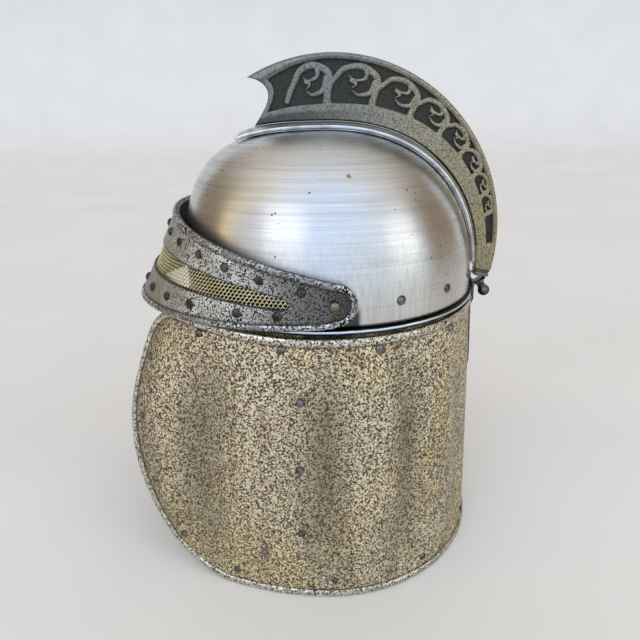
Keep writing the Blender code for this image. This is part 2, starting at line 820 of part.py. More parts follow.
def make_visor_screen():
    """The mesh screen behind the window, as a plain sheet, and the frame that clamps it."""
    screen_out = -(VISOR_THICKNESS / 2 + GAP)
    frame_out = screen_out - SCREEN_THICKNESS - GAP
    margin = SCREEN_MARGIN
    end_turn = margin / VISOR_SIDE
    screen_rows = window_rows(margin, screen_out, end_turn)
    screen = sheet("visor_mesh", screen_rows, SCREEN_THICKNESS, -1, "brass_mesh")
    frame_rows = window_rows(margin, frame_out, end_turn)
    frame = sheet("mesh_frame", frame_rows, SCREEN_THICKNESS, -1, "gunmetal")
    opening_rows = window_rows(WINDOW_CUT_MARGIN, frame_out)
    opening = sheet("mesh_frame_opening", opening_rows, 6 * SCREEN_THICKNESS, 0, "gunmetal")
    cut(frame, opening)
    return [screen, frame]


def make_pivots():
    """On each side a headed pin through the visor and the skull, a spacer between them and a nut inside."""
    spacer_start = widest_under_spacer() + GAP
    plate_edge = VISOR_SIDE * sqrt(1 - ((PIVOT_Y + SPACER_RADIUS) / VISOR_BACK) ** 2)
    spacer_end = plate_edge - VISOR_THICKNESS / 2 - 2 * GAP
    head_start = VISOR_SIDE + VISOR_THICKNESS / 2 + GAP
    collar_in = skull_half_widths(PIVOT_Z - BASE_Z)[0] - SKULL_THICKNESS - GAP - COLLAR_THICKNESS
    nut_end = collar_in - NUT_GAP
    nut_start = nut_end - NUT_THICKNESS
    hole = PIN_RADIUS + GAP
    arc = [radians(90 * step / 4) for step in range(5)]
    head = [(PIN_HEAD_RADIUS * sin(angle), head_start + PIN_HEAD_HEIGHT * cos(angle)) for angle in arc]
    pin_end = nut_start - PIN_END
    shank = [(PIN_RADIUS, head_start), (PIN_RADIUS, pin_end), (0, pin_end)]
    for side, sign in SIDES.items():
        centre = Vector((0, PIVOT_Y, PIVOT_Z))
        axis = Vector((sign, 0, 0))
        turned("visor_pivot_" + side, head + shank, centre, axis, "rivet_bronze")
        spacer = (hole, SPACER_RADIUS, spacer_start, spacer_end)
        nut = (hole, NUT_RADIUS, nut_start, nut_end)
        bored_ring(f"pivot_spacer_{side}", centre, axis, *spacer, sides=20)
        bored_ring(f"pivot_nut_{side}", centre, axis, *nut, sides=6)


def widest_under_spacer():
    """How far out the skull stands, at most, under the spacer's round foot."""
    widths = []
    for step in range(16):
        angle = 2 * pi * step / 16
        y = PIVOT_Y + SPACER_RADIUS * cos(angle)
        side, _, back = skull_half_widths(PIVOT_Z - BASE_Z + SPACER_RADIUS * sin(angle))
        widths.append(side * sqrt(1 - (y / back) ** 2))
    return max(widths)


def bored_ring(name, centre, axis, inner, outer, start, end, sides):
    """A ring with a bore along the axis; six sides make a nut. The bore is as many-sided as the outside."""
    inner_corner = inner / cos(pi / sides)
    profile = [(outer, end), (outer, start), (inner_corner, start), (inner_corner, end), (outer, end)]
    turned(name, profile, centre, axis, "polished_steel", steps=sides)


# ---------------------------------------------------------------- assembly


def make_visor():
    """The visor's pieces hang on an empty on the pivot axis, so turning it lifts them."""
    hinge = bpy.data.objects.new("visor_hinge", None)
    HELMET.objects.link(hinge)
    hinge.location = (0, PIVOT_Y, PIVOT_Z)
    for piece in [make_visor_plate(), make_visor_binding()] + make_visor_screen():
        piece.parent = hinge
        piece.matrix_parent_inverse = Matrix.Translation(-hinge.location)


def centre_assembly():
    """Hangs every loose piece and cutter on one empty, set back from the origin."""
    base = bpy.data.objects.new("helmet_base", None)
    HELMET.objects.link(base)
    for piece in list(HELMET.objects) + list(CUTTERS.objects):
        if piece.parent is None and piece is not base:
            piece.parent = base
    base.location = (0, CENTRE_SHIFT, 0)


clear_scene()
HELMET = new_collection("knight_helmet", hidden=False)
CUTTERS = new_collection("cutters", hidden=True)
PAINT = {name: make_material(name) for name in MATERIALS}

make_skull()
make_collar()
make_headband()
make_crown_pad()
make_rail()
make_crest()
make_socket()
make_finial()
make_curtain()
make_curtain_binding()
make_stays()
make_rear_strap()
make_skull_rivets()
make_visor()
make_pivots()
centre_assembly()
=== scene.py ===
"""Looks of the knight's helmet: fine meshes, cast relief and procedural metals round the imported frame.

Metres, +Z up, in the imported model's frame. The wearer faces -Y, and the wearer's left is +X. A turn is
measured about the skull's centre line, from the front (0) through the wearer's left (90 degrees) to the
back. Heights are over the skull's base.
"""

from math import cos, hypot, pi, radians, sin

import bmesh
import bpy
import numpy as np
from mathutils import Matrix, Vector, noise


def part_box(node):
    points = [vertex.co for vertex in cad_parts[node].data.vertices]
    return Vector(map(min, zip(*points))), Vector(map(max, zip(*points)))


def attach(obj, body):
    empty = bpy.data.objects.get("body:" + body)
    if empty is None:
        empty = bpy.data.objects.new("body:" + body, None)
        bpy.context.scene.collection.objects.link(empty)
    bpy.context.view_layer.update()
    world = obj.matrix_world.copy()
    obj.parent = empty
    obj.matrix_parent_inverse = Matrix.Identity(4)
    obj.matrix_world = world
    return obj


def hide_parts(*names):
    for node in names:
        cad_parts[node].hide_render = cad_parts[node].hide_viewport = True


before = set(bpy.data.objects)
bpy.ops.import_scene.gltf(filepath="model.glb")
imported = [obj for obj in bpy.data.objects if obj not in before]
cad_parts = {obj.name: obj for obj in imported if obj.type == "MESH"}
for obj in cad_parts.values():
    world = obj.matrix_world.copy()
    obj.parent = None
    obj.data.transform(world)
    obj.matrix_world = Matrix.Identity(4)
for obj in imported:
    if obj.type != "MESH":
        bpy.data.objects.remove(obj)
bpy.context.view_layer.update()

GAP = 0.0003
UP = np.array([0.0, 0.0, 1.0])

# How finely the larger pieces are divided
ROUND_STEPS = 288
SKULL_ROWS = 96
LATHE_STEPS = 40
RIVET_STEPS = 20
ROLL_STEPS = 20
CREST_COLUMNS = 640
CREST_ROWS = 120
CURTAIN_COLUMNS = 330
CURTAIN_ROWS = 130
CORNER_STEPS = 22
PLATE_ROWS = 22

# Skull, from its packed box and the powers of its oval
SKULL_LOW, SKULL_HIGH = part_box("skull")
SKULL_FRONT = 0.1096
CENTRE_Y = SKULL_LOW.y + SKULL_FRONT
BASE_Z = SKULL_LOW.z
CENTRE = np.array([0.0, CENTRE_Y, BASE_Z])
SKULL_SIDE = SKULL_HIGH.x
SKULL_BACK = SKULL_HIGH.y - CENTRE_Y
SKULL_HEIGHT = SKULL_HIGH.z - SKULL_LOW.z
SIDE_POWER = 2.1
FRONT_POWER = 3.2
BACK_POWER = 2.3
SKULL_THICKNESS = 0.0012
SKULL_WAVES = 0.00006

# Collar ring
COLLAR_LAP = 0.020
COLLAR_DROP = 0.0036
COLLAR_FLANGE = 0.0040
COLLAR_THICKNESS = 0.0012

# Liner
HEADBAND_INSET = 0.0085
HEADBAND_THICKNESS = 0.0018
STITCH_MARGIN = 0.0035
STITCH_RADIUS = 0.0004
STITCH_COUNT = 150
PAD_REACH = radians(48.0)
PAD_PANELS = 8

# Rail and crest
RAIL_HALF_WIDTH = 0.0138
RAIL_HEIGHT = 0.0052
RAIL_FRONT = radians(65.5)
RAIL_BACK = radians(171.5)
RAIL_TIP = radians(5.5)
CREST_CENTRE = np.array([CENTRE_Y + 0.0048, BASE_Z + 0.030])
CREST_LENGTH = 0.1293
CREST_HEIGHT = 0.1343
CREST_TIP = radians(117.0)
CREST_TAIL = radians(-9.4)
CREST_FOOT_FRONT = radians(66.8)
CREST_FOOT_BACK = radians(175.2)
CREST_NOTCH = 0.0135
NOTCH_SKEW = 0.62
CREST_HALF_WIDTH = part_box("crest_casting")[1].x
CREST_FLOOR = 0.0039
WAVE_START = 0.075  # the scroll's places and widths are shares of the crest's length
WAVE_FIRST = 0.150
WAVE_SHRINK = 0.865
WAVE_COUNT = 8
SLOT_END = 0.915
BAND_SHARE = 0.26
RIM_BORDER = 0.0037
FINIAL_TILT = radians(40.0)
FINIAL_FLARE = 0.0058
FINIAL_NECK = 0.0031
FINIAL_BALL = 0.0047
FINIAL_DROP = 0.0108
SOCKET_HEIGHT = 0.0058
SOCKET_HALF_DEPTH = 0.0062

# Curtain and its binding
RIM_Z = BASE_Z - 0.0060
RIM_SIDE = 0.1052
RIM_BACK = 0.1146
RIM_FRONT = 0.1400
RIM_RISE = 0.0049
RISE_START = radians(88.0)
RISE_END = radians(40.0)
HEM_SIDE = 0.1174
HEM_BACK = 0.1290
HEM_FRONT = 0.1761
FRONT_SWELL = 0.0387
SWELL_POWER = 1.98
CURTAIN_THICKNESS = 0.0016
CURTAIN_EDGE_TURN = radians(30.5)
CURTAIN_SPREAD = radians(21.9)
RIM_CORNER = 0.0236
HEM_CORNER = 0.0336
FLUTE_DEPTH = 0.0032
FLUTE_PERIOD = radians(30.0)
FLUTE_FADE = 6
FLUTE_RIDGE = radians(77.0)
BINDING_HALF_WIDTH = 0.0031
BINDING_HALF_THICKNESS = 0.0026
GROOVE = 0.0042  # the painted shade beside a rim fades out over this width

# Visor
VISOR_SIDE = 0.1068
VISOR_FRONT = 0.1465
VISOR_BACK = 0.1120
VISOR_LEAN = 0.55
VISOR_TOP = 0.0655
VISOR_DROP = 0.0070
VISOR_THICKNESS = 0.0014
VISOR_ROLL = 0.0023
PIVOT_Y = 0.0100
PIVOT_HEIGHT = 0.0170
VISOR_END_RADIUS = 0.0144
WINDOW_TURN = radians(82.4)
WINDOW_ROUND_TURN = radians(79.4)
WINDOW_TOP = 0.0395
WINDOW_BOTTOM = 0.0210
WINDOW_END_TOP = 0.0206
WINDOW_END_BOTTOM = 0.0128
WINDOW_POWER = 2.2
SCREEN_MARGIN = 0.0030
SCREEN_ROW = 0.00235
SCREEN_CELL = 0.00300
STRAND_HALF_WIDTH = 0.00045
STRAND_HALF_THICKNESS = 0.00020
STRAND_TILT = 0.00016
PIN_RADIUS = 0.0020
PIN_HEAD_HEIGHT = 0.0024

# Strap and rivets
STRAP_HALF_WIDTH = 0.0125
STRAP_THICKNESS = 0.0018
STRAP_TOP = 0.0005
STRAP_BOTTOM = -0.078
STRAP_STEP = 0.0065
RIVET_RADIUS = 0.0034
RIVET_HEIGHT = 0.0023
RIVET_INSET = 0.0058  # from the binding to the rivets beside it
TOP_RIVET_INSET = 0.0028
HEM_RIVET_LIFT = 0.0034
LOWER_ROW = 0.0091  # height of the rivets under the visor's window
EDGE_RIVETS = (-0.0387, -0.0837, -0.137, -0.1876)
HEM_RIVET_TURNS = (68.2, 94.4, 128.9, 161.3)
TOP_RIVET_TURNS = (54.9, 80.2, 109.6, 141.3)
STAY_SIDE_TURN = radians(77.0)
STAY_SIDE_HEIGHT = -0.1824

# Camera and studio
CAMERA_PLACE = Vector((0.38534, 0.02373, 0.35192))
CAMERA_RIGHT = Vector((-0.0489, 0.9987, -0.0151))
CAMERA_UP = Vector((-0.3958, -0.0055, 0.9183))
LENS = 27.47
SENSOR_WIDTH = 36.0
FLOOR_REACH = 4.0
FLOOR_BEND = 1.5
FLOOR_DROP = 0.0002


# ---------------------------------------------------------------- arithmetic and shared surfaces


def mix(start, end, share):
    return start + (end - start) * share


def unit(vectors):
    return vectors / np.maximum(np.linalg.norm(vectors, axis=-1, keepdims=True), 1e-12)


def smooth_step(value, low, high):
    share = np.clip((value - low) / (high - low), 0.0, 1.0)
    return share * share * (3 - 2 * share)


def circle(steps):
    """Turns evenly spaced once round."""
    return np.linspace(0, 2 * pi, steps, endpoint=False)


def joined(*parts):
    """These arrays, broadcast to one shape and joined along a new last axis."""
    return np.stack(np.broadcast_arrays(*parts), axis=-1)


def turn_from_front(turn):
    """How far a turn from 0 to a full circle is from the front, either way round."""
    return np.minimum(turn, 2 * pi - turn)


def squared_off(values, power):
    """Sines or cosines of a circle, pushed out towards a square by a power under 1."""
    return np.sign(values) * np.abs(values) ** power


def roughness_at(points, frequency):
    """Smooth noise from -1 to 1 at each of these points."""
    flat = (points.reshape(-1, 3) * frequency).tolist()
    return np.array([noise.noise(point) for point in flat]).reshape(points.shape[:-1])


def oval(turn, side, front, back, z):
    along = np.where(np.cos(turn) > 0, front, back)
    return joined(side * np.sin(turn), CENTRE_Y - along * np.cos(turn), z)


def skull_widths(height):
    """(side, front, back) half widths of the skull's oval at this height."""
    level = np.clip(height / SKULL_HEIGHT, 0.0, 1.0)
    shapes = ((SKULL_SIDE, SIDE_POWER), (SKULL_FRONT, FRONT_POWER), (SKULL_BACK, BACK_POWER))
    return [width * (1 - level**power) ** (1 / power) for width, power in shapes]


def skull_surface(turn, height):
    return oval(turn, *skull_widths(height), BASE_Z + height)


def skull_along(direction):
    """The skull's surface in each of these directions from the centre of its base."""
    near = np.zeros(direction.shape[:-1])
    far = near + 2 * SKULL_HEIGHT
    for _ in range(30):
        middle = (near + far) / 2
        x, y, z = np.moveaxis(direction * middle[..., None], -1, 0)
        side, front, back = (np.maximum(width, 1e-9) for width in skull_widths(z))
        depth = np.where(y < 0, front, back)
        inside = (z < SKULL_HEIGHT) & ((x / side) ** 2 + (y / depth) ** 2 < 1)
        near = np.where(inside, middle, near)
        far = np.where(inside, far, middle)
    return CENTRE + direction * near[..., None]


def midline_direction(sweep, lateral=0.0):
    """Directions over the skull from the front (sweep 0) over the top to the back (180 degrees)."""
    return unit(joined(lateral, -np.cos(sweep), np.sin(sweep)))


def curtain_surface(turn, height):
    """The middle of the curtain's sheet, with its soft upright flutes."""
    z = BASE_Z + height
    drop = np.clip(1 - z / RIM_Z, 0.0, 1.0)
    swell = (1 - np.abs(2 * drop - 1) ** SWELL_POWER) * FRONT_SWELL
    side = mix(RIM_SIDE, HEM_SIDE, drop)
    front = mix(RIM_FRONT, HEM_FRONT, drop) + swell
    back = mix(RIM_BACK, HEM_BACK, drop)
    point = oval(turn, side, front, back, z)
    depth = np.where(np.cos(turn) > 0, front, back)
    normal = unit(joined(point[..., 0] / side**2, (point[..., 1] - CENTRE_Y) / depth**2, 0.0))
    strength, valley = flutes(turn, drop)
    return point + normal * (FLUTE_DEPTH * strength * (1 - 2 * valley))[..., None]


def flutes(turn, drop):
    """How strong the flutes are here, and how deep in one of their narrow valleys, both 0 to 1."""
    from_front = turn_from_front(turn)
    strength = (1 - np.cos(pi * drop) ** FLUTE_FADE) * np.minimum(1.0, (pi - from_front) / FLUTE_PERIOD / 2)
    return strength, (0.5 - 0.5 * np.cos(2 * pi * (from_front - FLUTE_RIDGE) / FLUTE_PERIOD)) ** 2


def visor_surface(turn, height):
    """The middle of the visor's plate, which leans back at the front."""
    front = VISOR_FRONT - VISOR_LEAN * height
    return oval(turn, VISOR_SIDE, front, VISOR_BACK, BASE_Z + height)


def normal_of(surface, turn, height):
    step = 1e-4
    here = surface(turn, height)
    across = surface(turn + step, height) - here
    up = surface(turn, height + step) - here
    return unit(np.cross(across, up))


def off_surface(surface, turn, height, outward):
    turn, height = np.broadcast_arrays(turn, height)
    return surface(turn, height) + normal_of(surface, turn, height) * outward


# ---------------------------------------------------------------- meshes


def mesh_object(name, points, faces, material):
    mesh = bpy.data.meshes.new(name)
    faces = faces.tolist() if isinstance(faces, np.ndarray) else faces
    mesh.from_pydata(np.asarray(points).reshape(-1, 3).tolist(), [], faces)
    mesh.polygons.foreach_set("use_smooth", [True] * len(mesh.polygons))
    mesh.materials.append(material)
    obj = bpy.data.objects.new(name, mesh)
    bpy.context.scene.collection.objects.link(obj)
    return obj


def grid_faces(rows, columns, around=False, closed=False, start=0):
    """Quads of a grid of points in rows, facing outward where rows go up and columns go leftward."""
    low = np.arange(rows if closed else rows - 1)[:, None]
    left = np.arange(columns if around else columns - 1)[None, :]
    high, right = (low + 1) % rows, (left + 1) % columns
    corners = joined(low * columns + left, low * columns + right,
                     high * columns + right, high * columns + left)
    return start + corners.reshape(-1, 4)


def grid_object(name, points, material, around=False, closed=False):
    return mesh_object(name, points, grid_faces(*points.shape[:2], around, closed), material)


def edit_mesh(obj, weld=0.0, fill=False, face_out=True):
    """Welds points that near to each other, closes holes and turns the faces outward."""
    shape = bmesh.new()
    shape.from_mesh(obj.data)
    if weld:
        bmesh.ops.remove_doubles(shape, verts=shape.verts, dist=weld)
    if fill:
        bmesh.ops.holes_fill(shape, edges=[edge for edge in shape.edges if edge.is_boundary])
    if face_out:
        bmesh.ops.recalc_face_normals(shape, faces=shape.faces)
    shape.to_mesh(obj.data)
    shape.free()
    obj.data.polygons.foreach_set("use_smooth", [True] * len(obj.data.polygons))
    return obj


def thicken(obj, thickness, side):
    """side is -1 to grow inward from the surface, 0 for both ways and 1 for outward."""
    solid = obj.modifiers.new("Thickness", "SOLIDIFY")
    solid.thickness = thickness
    solid.offset = side
    solid.use_even_offset = True
    return obj


def round_edges(obj, width):
    bevel = obj.modifiers.new("Rounding", "BEVEL")
    bevel.width = width
    bevel.segments = 2
    bevel.limit_method = "ANGLE"
    bevel.angle_limit = radians(50)
    return obj


def paint_points(obj, name, values):
    """Stores a number at each point, for the material to read as an attribute."""
    layer = obj.data.attributes.new(name, "FLOAT", "POINT")
    layer.data.foreach_set("value", np.asarray(values, np.float32).ravel())


def sweep(name, centres, outward, section, material):
    """A closed roll: section is (off the surface, across) offsets, one list for each centre."""
    ahead = unit(np.roll(centres, -1, axis=0) - np.roll(centres, 1, axis=0))
    thick = unit(outward - ahead * np.sum(outward * ahead, axis=-1, keepdims=True))
    wide = np.cross(ahead, thick)
    rings = centres[:, None] + thick[:, None] * section[..., :1] + wide[:, None] * section[..., 1:]
    return edit_mesh(grid_object(name, rings, material, around=True, closed=True))


def turned(profile, steps):
    """(radius, height) pairs turned about the Z axis into rings of points."""
    turns = circle(steps)
    return joined(profile[:, :1] * np.cos(turns), profile[:, :1] * np.sin(turns), profile[:, 1:])


def basis_along(axis):
    """A matrix that turns points so that their Z axis lies along this one."""
    return np.array(Vector(axis).to_track_quat("Z", "Y").to_matrix())


def lathe(name, profile, place, axis, material):
    """A turned solid from (radius, height) pairs along the axis, both ends on the axis."""
    points = turned(np.array(profile, float), LATHE_STEPS) @ basis_along(axis).T + np.array(place)
    return edit_mesh(grid_object(name, points, material, around=True), weld=1e-7)


def show(obj, body, slot, *nodes):
    """Puts a finished piece on its body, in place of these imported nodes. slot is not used."""
    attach(obj, body)
    if nodes:
        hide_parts(*nodes)
    return obj


# ---------------------------------------------------------------- material nodes


def new_material(name, metallic=1.0, **sockets):
    """A Principled material; each keyword is a constant for the shader's socket of that name."""
    material = bpy.data.materials.new(name)
    material.use_nodes = True
    tree = material.node_tree
    sockets["Metallic"] = metallic
    for socket, value in sockets.items():
        tree.nodes["Principled BSDF"].inputs[socket.replace("_", " ")].default_value = value
    return material, tree


def plug_in(material, colour, roughness=None, normal=None):
    """Joins these outputs to the material's shader, and returns the material."""
    tree = material.node_tree
    for socket, output in (("Base Color", colour), ("Roughness", roughness), ("Normal", normal)):
        if output is not None:
            tree.links.new(output, tree.nodes["Principled BSDF"].inputs[socket])
    return material


def add(tree, kind, inputs=None, **settings):
    """Adds a node. Each input is a constant or another node's output."""
    node = tree.nodes.new(kind)
    for name, value in settings.items():
        setattr(node, name, value)
    for name, value in (inputs or {}).items():
        if isinstance(value, bpy.types.NodeSocket):
            tree.links.new(value, node.inputs[name])
        else:
            node.inputs[name].default_value = value
    return node


def object_point(tree):
    return add(tree, "ShaderNodeTexCoord").outputs["Object"]


def place_of(tree, scale=(1, 1, 1)):
    """The point on the piece, stretched by this scale."""
    return add(tree, "ShaderNodeMapping", {"Vector": object_point(tree), "Scale": scale}).outputs[0]


def grain(tree, vector, scale, detail, roughness=0.55, distortion=0.0):
    inputs = {"Vector": vector, "Scale": scale, "Detail": detail, "Roughness": roughness,
              "Distortion": distortion}
    return add(tree, "ShaderNodeTexNoise", inputs).outputs[0]


def ramp(tree, factor, *stops):
    """stops are (place, value or colour) pairs."""
    node = add(tree, "ShaderNodeValToRGB", {"Fac": factor})
    elements = node.color_ramp.elements
    while len(elements) < len(stops):
        elements.new(0.5)
    for element, (position, value) in zip(elements, stops):
        element.position = position
        element.color = (*value, 1) if isinstance(value, tuple) else (value, value, value, 1)
    return node.outputs["Color"]


def blend_colour(tree, factor, first, second):
    node = add(tree, "ShaderNodeMix", data_type="RGBA")
    for index, value in ((0, factor), (6, first), (7, second)):
        if isinstance(value, bpy.types.NodeSocket):
            tree.links.new(value, node.inputs[index])
        elif isinstance(value, tuple):
            node.inputs[index].default_value = (*value, 1)
        else:
            node.inputs[index].default_value = value
    return node.outputs[2]


def maths(tree, operation, first, second, clamp=False):
    node = add(tree, "ShaderNodeMath", {0: first, 1: second}, operation=operation)
    node.use_clamp = clamp
    return node.outputs[0]


def bump(tree, height, distance, strength, normal=None):
    inputs = {"Height": height, "Distance": distance, "Strength": strength}
    if normal is not None:
        inputs["Normal"] = normal
    return add(tree, "ShaderNodeBump", inputs).outputs[0]


def attribute(tree, name):
    return add(tree, "ShaderNodeAttribute", attribute_name=name).outputs["Fac"]


def over_level(tree, value, level, gain):
    """0 where the value is under the level, and rising by gain to 1 above it."""
    return maths(tree, "MULTIPLY", maths(tree, "SUBTRACT", value, level), gain, clamp=True)


def veins(tree, scale, level, gain=22.0):
    """The crackle of a vein finish: 0 in the dark worm-like veins, 1 on the flecks between them."""
    inputs = {"Vector": object_point(tree), "Rotation": (0.5, 0.7, 0.3)}
    tilted = add(tree, "ShaderNodeMapping", inputs).outputs[0]
    return over_level(tree, grain(tree, tilted, scale, 0.0, 0.5, 0.6), level, gain)


def scaled(tree, value, factor):
    return maths(tree, "MULTIPLY", value, factor)


def centred(tree, noise_value, size):
    """Noise moved from round a half to round zero, and scaled."""
    return scaled(tree, maths(tree, "SUBTRACT", noise_value, 0.5), size)


def part_of_place(tree, axis):
    """One coordinate of the point on the piece."""
    return add(tree, "ShaderNodeSeparateXYZ", {0: object_point(tree)}).outputs["XYZ".index(axis)]


def height_of_place(tree):
    """The point's height over the skull's base."""
    return maths(tree, "SUBTRACT", part_of_place(tree, "Z"), BASE_Z)


def forward_of_place(tree):
    """How far the point is in front of the skull's centre line."""
    return maths(tree, "SUBTRACT", CENTRE_Y, part_of_place(tree, "Y"))


# ---------------------------------------------------------------- materials


def brushed_pewter():
    """Satin pewter, brushed round the dome, with faint cross strokes low down, pits, a rust spot and painted
    shade behind the visor.
    """
    material, tree = new_material("skull_brushed_pewter", Anisotropic=0.75, Anisotropic_Rotation=0.25)
    tangent = add(tree, "ShaderNodeTangent", direction_type="RADIAL", axis="Z").outputs[0]
    tree.links.new(tangent, tree.nodes["Principled BSDF"].inputs["Tangent"])
    point = place_of(tree)
    brush = grain(tree, place_of(tree, (7, 7, 700)), 1.0, 4.0, 0.7)
    broad = grain(tree, place_of(tree, (11, 11, 120)), 1.0, 3.0, 0.65)
    cross = grain(tree, place_of(tree, (520, 520, 16)), 1.0, 3.0, 0.6)
    cloud = grain(tree, point, 20.0, 3.0)
    low_down = ramp(tree, height_of_place(tree), (0.025, 1.0), (0.070, 0.0))
    tone = ramp(tree, brush, (0.30, (0.47, 0.46, 0.44)), (0.50, (0.60, 0.595, 0.58)),
                (0.70, (0.68, 0.675, 0.66)))
    weave = ramp(tree, cross, (0.36, (0.48, 0.47, 0.45)), (0.62, (0.67, 0.665, 0.65)))
    tone = blend_colour(tree, scaled(tree, low_down, 0.6), tone, weave)
    tone = blend_colour(tree, ramp(tree, cloud, (0.40, 0.0), (0.75, 0.45)), tone, (0.55, 0.52, 0.46))
    tone = blend_colour(tree, ramp(tree, broad, (0.31, 0.28), (0.44, 0.0)), tone, (0.38, 0.365, 0.33))
    pit = dome_pits(tree, point)
    tone = blend_colour(tree, pit, tone, (0.075, 0.065, 0.055))
    tone = blend_colour(tree, rust_spot(tree), tone, (0.30, 0.12, 0.05))
    # Painted shade: the dome turns nearly black where the visor covers and shades it at rest.
    tone = blend_colour(tree, scaled(tree, attribute(tree, "visor_shade"), 0.92), tone, (0.030, 0.028, 0.025))
    polish = ramp(tree, brush, (0.30, 0.37), (0.70, 0.25))
    polish = blend_colour(tree, ramp(tree, cloud, (0.4, 0.0), (0.7, 0.6)), polish, (0.38, 0.38, 0.38))
    scratches = maths(tree, "ADD", brush, maths(tree, "MULTIPLY", cross, low_down))
    normal = bump(tree, scratches, 0.00007, 0.6)
    return plug_in(material, tone, polish, bump(tree, pit, -0.00012, 0.6, normal))


def dome_pits(tree, point):
    """Small black pits in a few clusters: 1 inside a pit."""
    spots = add(tree, "ShaderNodeTexVoronoi", {"Vector": point, "Scale": 230.0}).outputs["Distance"]
    cluster = ramp(tree, grain(tree, point, 36.0, 1.0), (0.57, 0.0), (0.66, 1.0))
    size = add(tree, "ShaderNodeMath", {0: cluster, 1: 0.16, 2: 0.02}, operation="MULTIPLY_ADD").outputs[0]
    return over_level(tree, size, spots, 16.0)


def rust_spot(tree):
    """A ragged spot of rust high on the left side."""
    turn, height = radians(103), 0.089
    centre = tuple(skull_surface(np.array(turn), np.array(height)).tolist())
    point = object_point(tree)
    away = add(tree, "ShaderNodeVectorMath", {0: point, 1: centre}, operation="DISTANCE").outputs["Value"]
    ragged = maths(tree, "ADD", away, scaled(tree, grain(tree, point, 420.0, 3.0), 0.0042))
    return ramp(tree, scaled(tree, ragged, 100.0), (0.27, 0.9), (0.42, 0.0))


def polished_steel(name, dark):
    """Bright steel with fine drawn lines and dark tarnish in patches."""
    material, tree = new_material(name)
    lines = grain(tree, place_of(tree, (40, 40, 900)), 1.0, 3.0)
    cloud = grain(tree, place_of(tree), 60.0, 4.0, 0.6)
    tone = ramp(tree, lines, (0.3, (0.50, 0.50, 0.50)), (0.65, (0.70, 0.70, 0.69)))
    tone = blend_colour(tree, ramp(tree, cloud, (0.48 - dark, 0.0), (0.75 - dark, 0.75)),
                        tone, (0.23, 0.215, 0.19))
    polish = ramp(tree, cloud, (0.35, 0.20), (0.75, 0.42))
    return plug_in(material, tone, polish, bump(tree, cloud, 0.0002, 0.25))


def banded_steel_and_shade():
    """The collar: black painted shadow where it meets under the dome's edge, then a line rubbed bright, and
    blued steel below.
    """
    material, tree = new_material("collar_steel")
    cloud = grain(tree, place_of(tree), 140.0, 4.0, 0.6)
    height = maths(tree, "ADD", scaled(tree, height_of_place(tree), 200.0), 1.0)
    height = maths(tree, "ADD", height, centred(tree, cloud, 0.12))
    # The black stop at the top is painted shadow under the dome's edge; the bright and blued bands are the
    # steel's own.
    tone = ramp(tree, height, (0.34, (0.030, 0.036, 0.055)), (0.46, (0.62, 0.66, 0.70)),
                (0.60, (0.62, 0.66, 0.70)), (0.70, (0.012, 0.012, 0.014)))
    polish = ramp(tree, cloud, (0.35, 0.22), (0.75, 0.40))
    return plug_in(material, tone, polish, bump(tree, cloud, 0.0002, 0.25))


def crackle(tree, scale):
    """Thin broken lines round small flecks: 0 on a line and 1 off it."""
    point = object_point(tree)
    wander = add(tree, "ShaderNodeTexNoise", {"Vector": point, "Scale": scale * 1.3, "Detail": 1.0})
    inputs = {0: wander.outputs["Color"], 1: (0.0016, 0.0016, 0.0016)}
    shift = add(tree, "ShaderNodeVectorMath", inputs, operation="MULTIPLY").outputs[0]
    moved = add(tree, "ShaderNodeVectorMath", {0: point, 1: shift}, operation="ADD").outputs[0]
    inputs = {"Vector": moved, "Scale": scale}
    cells = add(tree, "ShaderNodeTexVoronoi", inputs, feature="DISTANCE_TO_EDGE")
    line = over_level(tree, cells.outputs["Distance"], 0.045, 16.0)
    broken = ramp(tree, grain(tree, point, scale * 0.7, 1.0), (0.50, 0.0), (0.57, 1.0))
    return maths(tree, "MAXIMUM", line, broken)


def vein_finish(name, paint_metal, dark, scale, level, gain, calm=None, cells=None):
    """Flecks of metal between dark raised veins, with painted shade along the rims.

    calm paints where the veins fade out, and cells is the scale of the crackle that breaks up the flecks.
    """
    material, tree = new_material(name, 0.75)
    point = place_of(tree)
    fleck = veins(tree, scale, level, gain)
    if cells:
        fleck = maths(tree, "MINIMUM", fleck, crackle(tree, cells))
    if calm:
        fleck = maths(tree, "MAXIMUM", fleck, calm(tree))
    metal = paint_metal(tree)
    fine = grain(tree, point, scale * 1.6, 3.0)
    metal = blend_colour(tree, ramp(tree, fine, (0.36, 0.28), (0.52, 0.0)), metal, (0.19, 0.17, 0.135))
    tone = blend_colour(tree, fleck, dark, metal)
    # Painted shade: darker near the rims (and the visor's window), where the sheet sits recessed, broken up
    # by noise.
    rim_shade = maths(tree, "ADD", attribute(tree, "inset"), scaled(tree, grain(tree, point, 90.0, 3.0), 0.3))
    tone = blend_colour(tree, ramp(tree, rim_shade, (0.28, 0.88), (0.72, 0.0)), tone, (0.022, 0.020, 0.018))
    polish = ramp(tree, fleck, (0.0, 0.62), (1.0, 0.42))
    normal = bump(tree, grain(tree, point, scale * 0.30, 2.0), 0.0009, 0.35)
    return plug_in(material, tone, polish, bump(tree, fleck, -0.00022, 0.5, normal))


